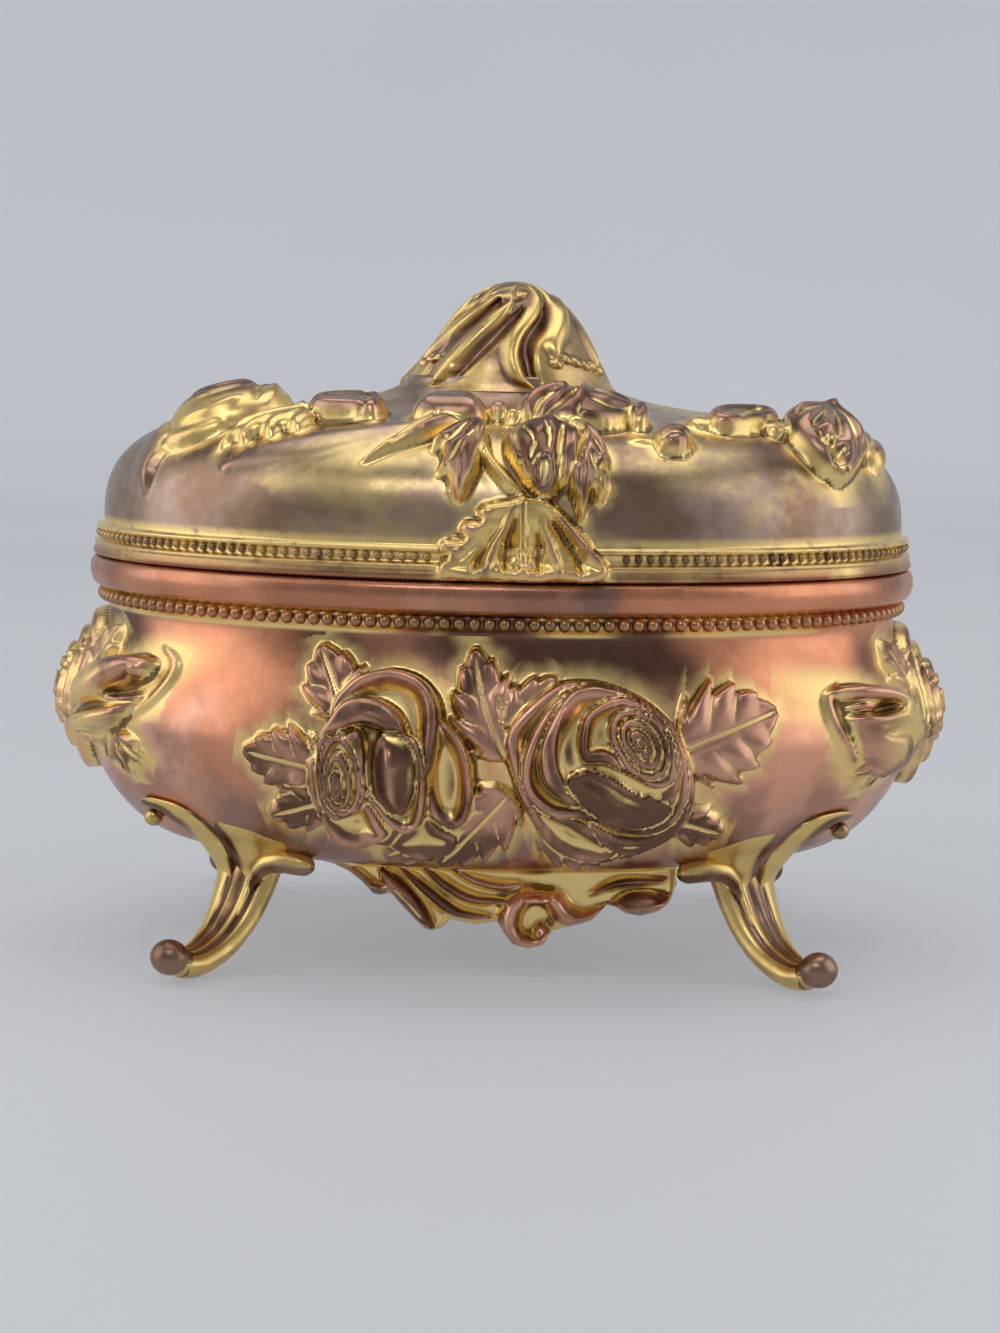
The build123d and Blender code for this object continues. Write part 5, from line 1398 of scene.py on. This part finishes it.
def case_metal():
    """Copper plate rubbed through to brown, with gilding left in the hollows and round the relief, and
    painted shade under the neck.
    """
    n = Nodes("coppered_and_gilt_casting")
    fine = n.noise(420.0, 5.0, 0.6)
    rubbed = n.mix(n.patches(0.4, 0.6, 80.0), MAUVE, COPPER_PINK)
    ground = n.mix(n.patches(0.44, 0.66, 34.0, 3.0, 0.5, 0.6), COPPER, rubbed)
    height = n.axis("Z")
    low = n.times(n.spread(height, 0.030, 0.018), n.patches(0.3, 0.6, 60.0))
    ground = n.mix(low, ground, MAUVE)
    # Umber patches darken the wall under the neck and, less, the rim band: painted shade and dark reflection,
    # partly brown tarnish
    high = n.times(n.spread(height, 0.036, 0.043), n.spread(height, 0.0485, 0.0498, 1.0, 0.45))
    ground = n.mix(n.times(high, n.patches(0.36, 0.54, 30.0, 2.0)), ground, UMBER_SHADE)
    face = n.mix(n.patches(0.43, 0.65, 75.0, 3.0, 0.5, 0.4), CASE_FACE_DARK, COPPER_DULL)
    low_face = n.spread(n.plus(n.tone("rise"), n.times(n.noise(160.0), 0.9)), 1.35, 0.85)
    ends = n.spread(n.calc("ABSOLUTE", n.axis("X")), 0.049, 0.056)
    face = n.mix(n.calc("MAXIMUM", low_face, n.times(ends, n.patches(0.40, 0.56, 130.0))), face, GOLD)
    # Gilded lines under and over the beads
    for line, half in ((0.0473, 0.0005), (0.0492, 0.0003)):
        gap = n.calc("ABSOLUTE", n.calc("SUBTRACT", height, line))
        ground = n.mix(n.times(n.spread(gap, 2 * half, half), n.patches(0.36, 0.52, 48.0)), ground, GOLD)
    return cast_metal(n, relief_colour(n, ground, face, fine, keep=0.6, spill=-2.4), fine)


def copper_beads():
    """Copper rubbed to brown, for the beads of the case."""
    n = Nodes("rubbed_copper_beads")
    colour = n.mix(n.patches(0.42, 0.60, 34.0, 3.0, 0.5, 0.6), COPPER_WORN, BEAD_BROWN)
    return cast_metal(n, colour, n.noise(300.0, 4.0, 0.6))


def gilt(name, ground_brown, gold_below=0.0, brown_below=-0.01):
    """Worn gilding over a brown casting: gold in the hollows, brown and mauve where hands have rubbed.

    A higher ground_brown leaves more gold. The ground turns to gold and to copper brown below set heights.
    """
    n = Nodes(name)
    fine = n.noise(420.0, 5.0, 0.6)
    layered = n.add("ShaderNodeMapping", {"Vector": n.place(), "Scale": (1.0, 1.0, 2.2)}).outputs["Vector"]
    ends = n.spread(n.calc("ABSOLUTE", n.axis("X")), 0.018, 0.048, 0.0, 0.16)
    clouds = n.plus(n.noise(30.0, 3.0, 0.5, 0.5, layered), ends)
    clouds = n.plus(clouds, n.times(n.calc("SUBTRACT", fine, 0.5), 0.25))
    tarnish = n.mix(n.patches(0.4, 0.6, 70.0), TARNISH_DARK, TARNISH_LIGHT)
    ground = n.mix(n.spread(clouds, ground_brown - 0.09, ground_brown + 0.09), GOLD_DULL, tarnish)
    height = n.axis("Z")
    edge = n.times(n.spread(height, gold_below + 0.0012, gold_below), n.spread(fine, 0.25, 0.5))
    ground = n.mix(edge, ground, GOLD)
    foot = n.times(n.spread(height, brown_below + 0.003, brown_below), n.patches(0.25, 0.5, 90.0))
    ground = n.mix(foot, ground, COPPER_BROWN)
    face = n.mix(n.patches(0.40, 0.60, 75.0, 3.0, 0.5, 0.4), LID_FACE_DARK, LID_FACE_LIGHT)
    low_face = n.spread(n.plus(n.tone("rise"), n.times(n.noise(160.0), 1.6)), 3.3, 2.3)
    face = n.mix(low_face, face, GOLD_DEEP)
    return cast_metal(n, relief_colour(n, ground, face, fine, keep=0.4, spill=-0.9), fine)


def plain_metal(name, colour, rough):
    """Drawn brass or steel with fine scratches."""
    n = Nodes(name)
    scratch = n.noise(900.0, 2.0)
    worn = n.mix(scratch, colour, tuple(0.7 * part for part in colour))
    return n.shade(Base_Color=worn, Metallic=1.0, Roughness=n.spread(scratch, 0.3, 0.7, rough, rough + 0.12))


def silk():
    """Old ivory silk with a faint weave and a soft sheen."""
    n = Nodes("old_silk")
    wave = n.add("ShaderNodeTexWave", {"Vector": n.place(), "Scale": 700.0, "Distortion": 1.0})
    weave = wave.outputs["Fac"]
    colour = n.mix(n.patches(0.35, 0.65, 30.0), (0.78, 0.62, 0.50), (0.86, 0.74, 0.64))
    return n.shade(Base_Color=colour, Roughness=0.42, Sheen_Weight=0.4, Normal=n.bump(weave, 0.1, 0.0001))


def thread():
    """Cord spun of silk thread."""
    n = Nodes("silk_thread")
    colour = n.mix(n.noise(300.0), (0.62, 0.42, 0.26), (0.80, 0.62, 0.42))
    return n.shade(Base_Color=colour, Roughness=0.5, Sheen_Weight=0.3)


def card():
    """Grey-brown pressed card."""
    n = Nodes("pressed_card")
    return n.shade(Base_Color=n.mix(n.noise(260.0), (0.40, 0.33, 0.25), (0.52, 0.44, 0.34)), Roughness=0.85)


def finish(material, *pieces):
    """Gives each piece one material and no other; a name stands for a solid of the frame."""
    for piece in pieces:
        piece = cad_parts[piece] if isinstance(piece, str) else piece
        piece.data.materials.clear()
        piece.data.materials.append(material)


finish(case_metal(), case, case_boss, *aprons)
finish(copper_beads(), case_beads)
finish(
    gilt("worn_gilding", ground_brown=0.47, gold_below=0.0583, brown_below=0.0537), lid, lid_beads, lid_boss
)
finish(gilt("bud_gilding", ground_brown=0.45), finial)
finish(gilt("leg_gilding", ground_brown=0.55, brown_below=0.0045), *feet)
finish(silk(), cushion, lid_pad, wall_silk)
finish(thread(), *gimps)
finish(card(), "floor_board", "lid_board")
finish(
    plain_metal("brass", (0.60, 0.42, 0.16), 0.3),
    "hinge_leaf_case", "hinge_leaf_lid", "hinge_screws_case", "hinge_screws_lid",
)
finish(plain_metal("steel", (0.42, 0.42, 0.42), 0.3), "hinge_pin")

# Camera, at the photograph's place; its drop and roll are in degrees
PHOTO_HEIGHT = 1333.0
FOCAL_PIXELS = 2690.0
SENSOR_HEIGHT = 36.0
CAMERA_PLACE = (0.0, -0.378, 0.0813)
CAMERA_DROP = 6.5
CAMERA_ROLL = 1.15
camera = bpy.data.cameras.new("camera")
camera.sensor_fit = "VERTICAL"
camera.sensor_height = SENSOR_HEIGHT
camera.lens = FOCAL_PIXELS / PHOTO_HEIGHT * SENSOR_HEIGHT
eye = bpy.data.objects.new("camera", camera)
bpy.context.scene.collection.objects.link(eye)
eye.location = CAMERA_PLACE
eye.rotation_euler = (math.radians(90 - CAMERA_DROP), 0.0, 0.0)
eye.rotation_euler.rotate_axis("Z", math.radians(CAMERA_ROLL))
bpy.context.scene.camera = eye


# Light
def lamp(name, place, aim_height, width, height, watts):
    """A soft rectangular light aimed at the middle of the casket."""
    light = bpy.data.lights.new(name, "AREA")
    light.shape = "RECTANGLE"
    light.size = width
    light.size_y = height
    light.energy = watts
    holder = bpy.data.objects.new(name, light)
    bpy.context.scene.collection.objects.link(holder)
    holder.location = place
    holder.rotation_euler = (Vector((0, 0, aim_height)) - Vector(place)).to_track_quat("-Z", "Y").to_euler()


lamp("light_left", (-0.85, -0.10, 0.42), aim_height=0.04, width=0.8, height=1.0, watts=2.8)
lamp("light_right", (0.85, -0.10, 0.42), aim_height=0.04, width=0.8, height=1.0, watts=2.4)
lamp("light_over", (0.0, 0.15, 0.95), aim_height=0.04, width=0.9, height=0.7, watts=3.0)
lamp("light_front", (-0.15, -0.62, 0.70), aim_height=0.05, width=0.5, height=0.22, watts=1.1)
world = bpy.data.worlds.new("pale_room")
world.use_nodes = True
world.node_tree.nodes["Background"].inputs["Color"].default_value = (0.80, 0.84, 0.92, 1.0)
world.node_tree.nodes["Background"].inputs["Strength"].default_value = 0.26
bpy.context.scene.world = world


def paper_bowl():
    """A round floor of pale paper whose far edge sweeps up on every side, so that no horizon shows; the paper
    glows as a soft light.
    """
    radii = np.array([0.0, 0.4, 0.8, 1.2, 1.6, 1.9, 2.15, 2.35, 2.48, 2.55, 2.58, 2.6])[:, None]
    rises = np.array([0.0, 0.0, 0.0, 0.0, 0.02, 0.09, 0.22, 0.42, 0.68, 1.0, 1.4, 1.9])[:, None]
    turns = np.linspace(0, 2 * np.pi, 96, endpoint=False)
    bowl = skin("floor", oval_row(radii, radii, rises, turns) / MM)
    n = Nodes("glowing_pale_paper")
    depth = n.axis("Y")
    # The paper's glow lights the casket: dimmer on the near side, giving dark reflections in the metal,
    # brighter far behind
    glow = n.plus(n.spread(depth, -0.75, -0.12, 0.24, 0.34), n.spread(depth, 0.4, 2.0, 0.0, 0.14))
    paper = n.mix(n.patches(0.3, 0.7, 1.6, 2.0), (0.27, 0.28, 0.292), (0.32, 0.33, 0.34))
    finish(n.shade(
        Base_Color=paper, Roughness=0.6, Emission_Color=(0.80, 0.83, 0.88, 1.0), Emission_Strength=glow,
    ), bowl)


paper_bowl()
bpy.context.scene.view_settings.view_transform = "Standard"
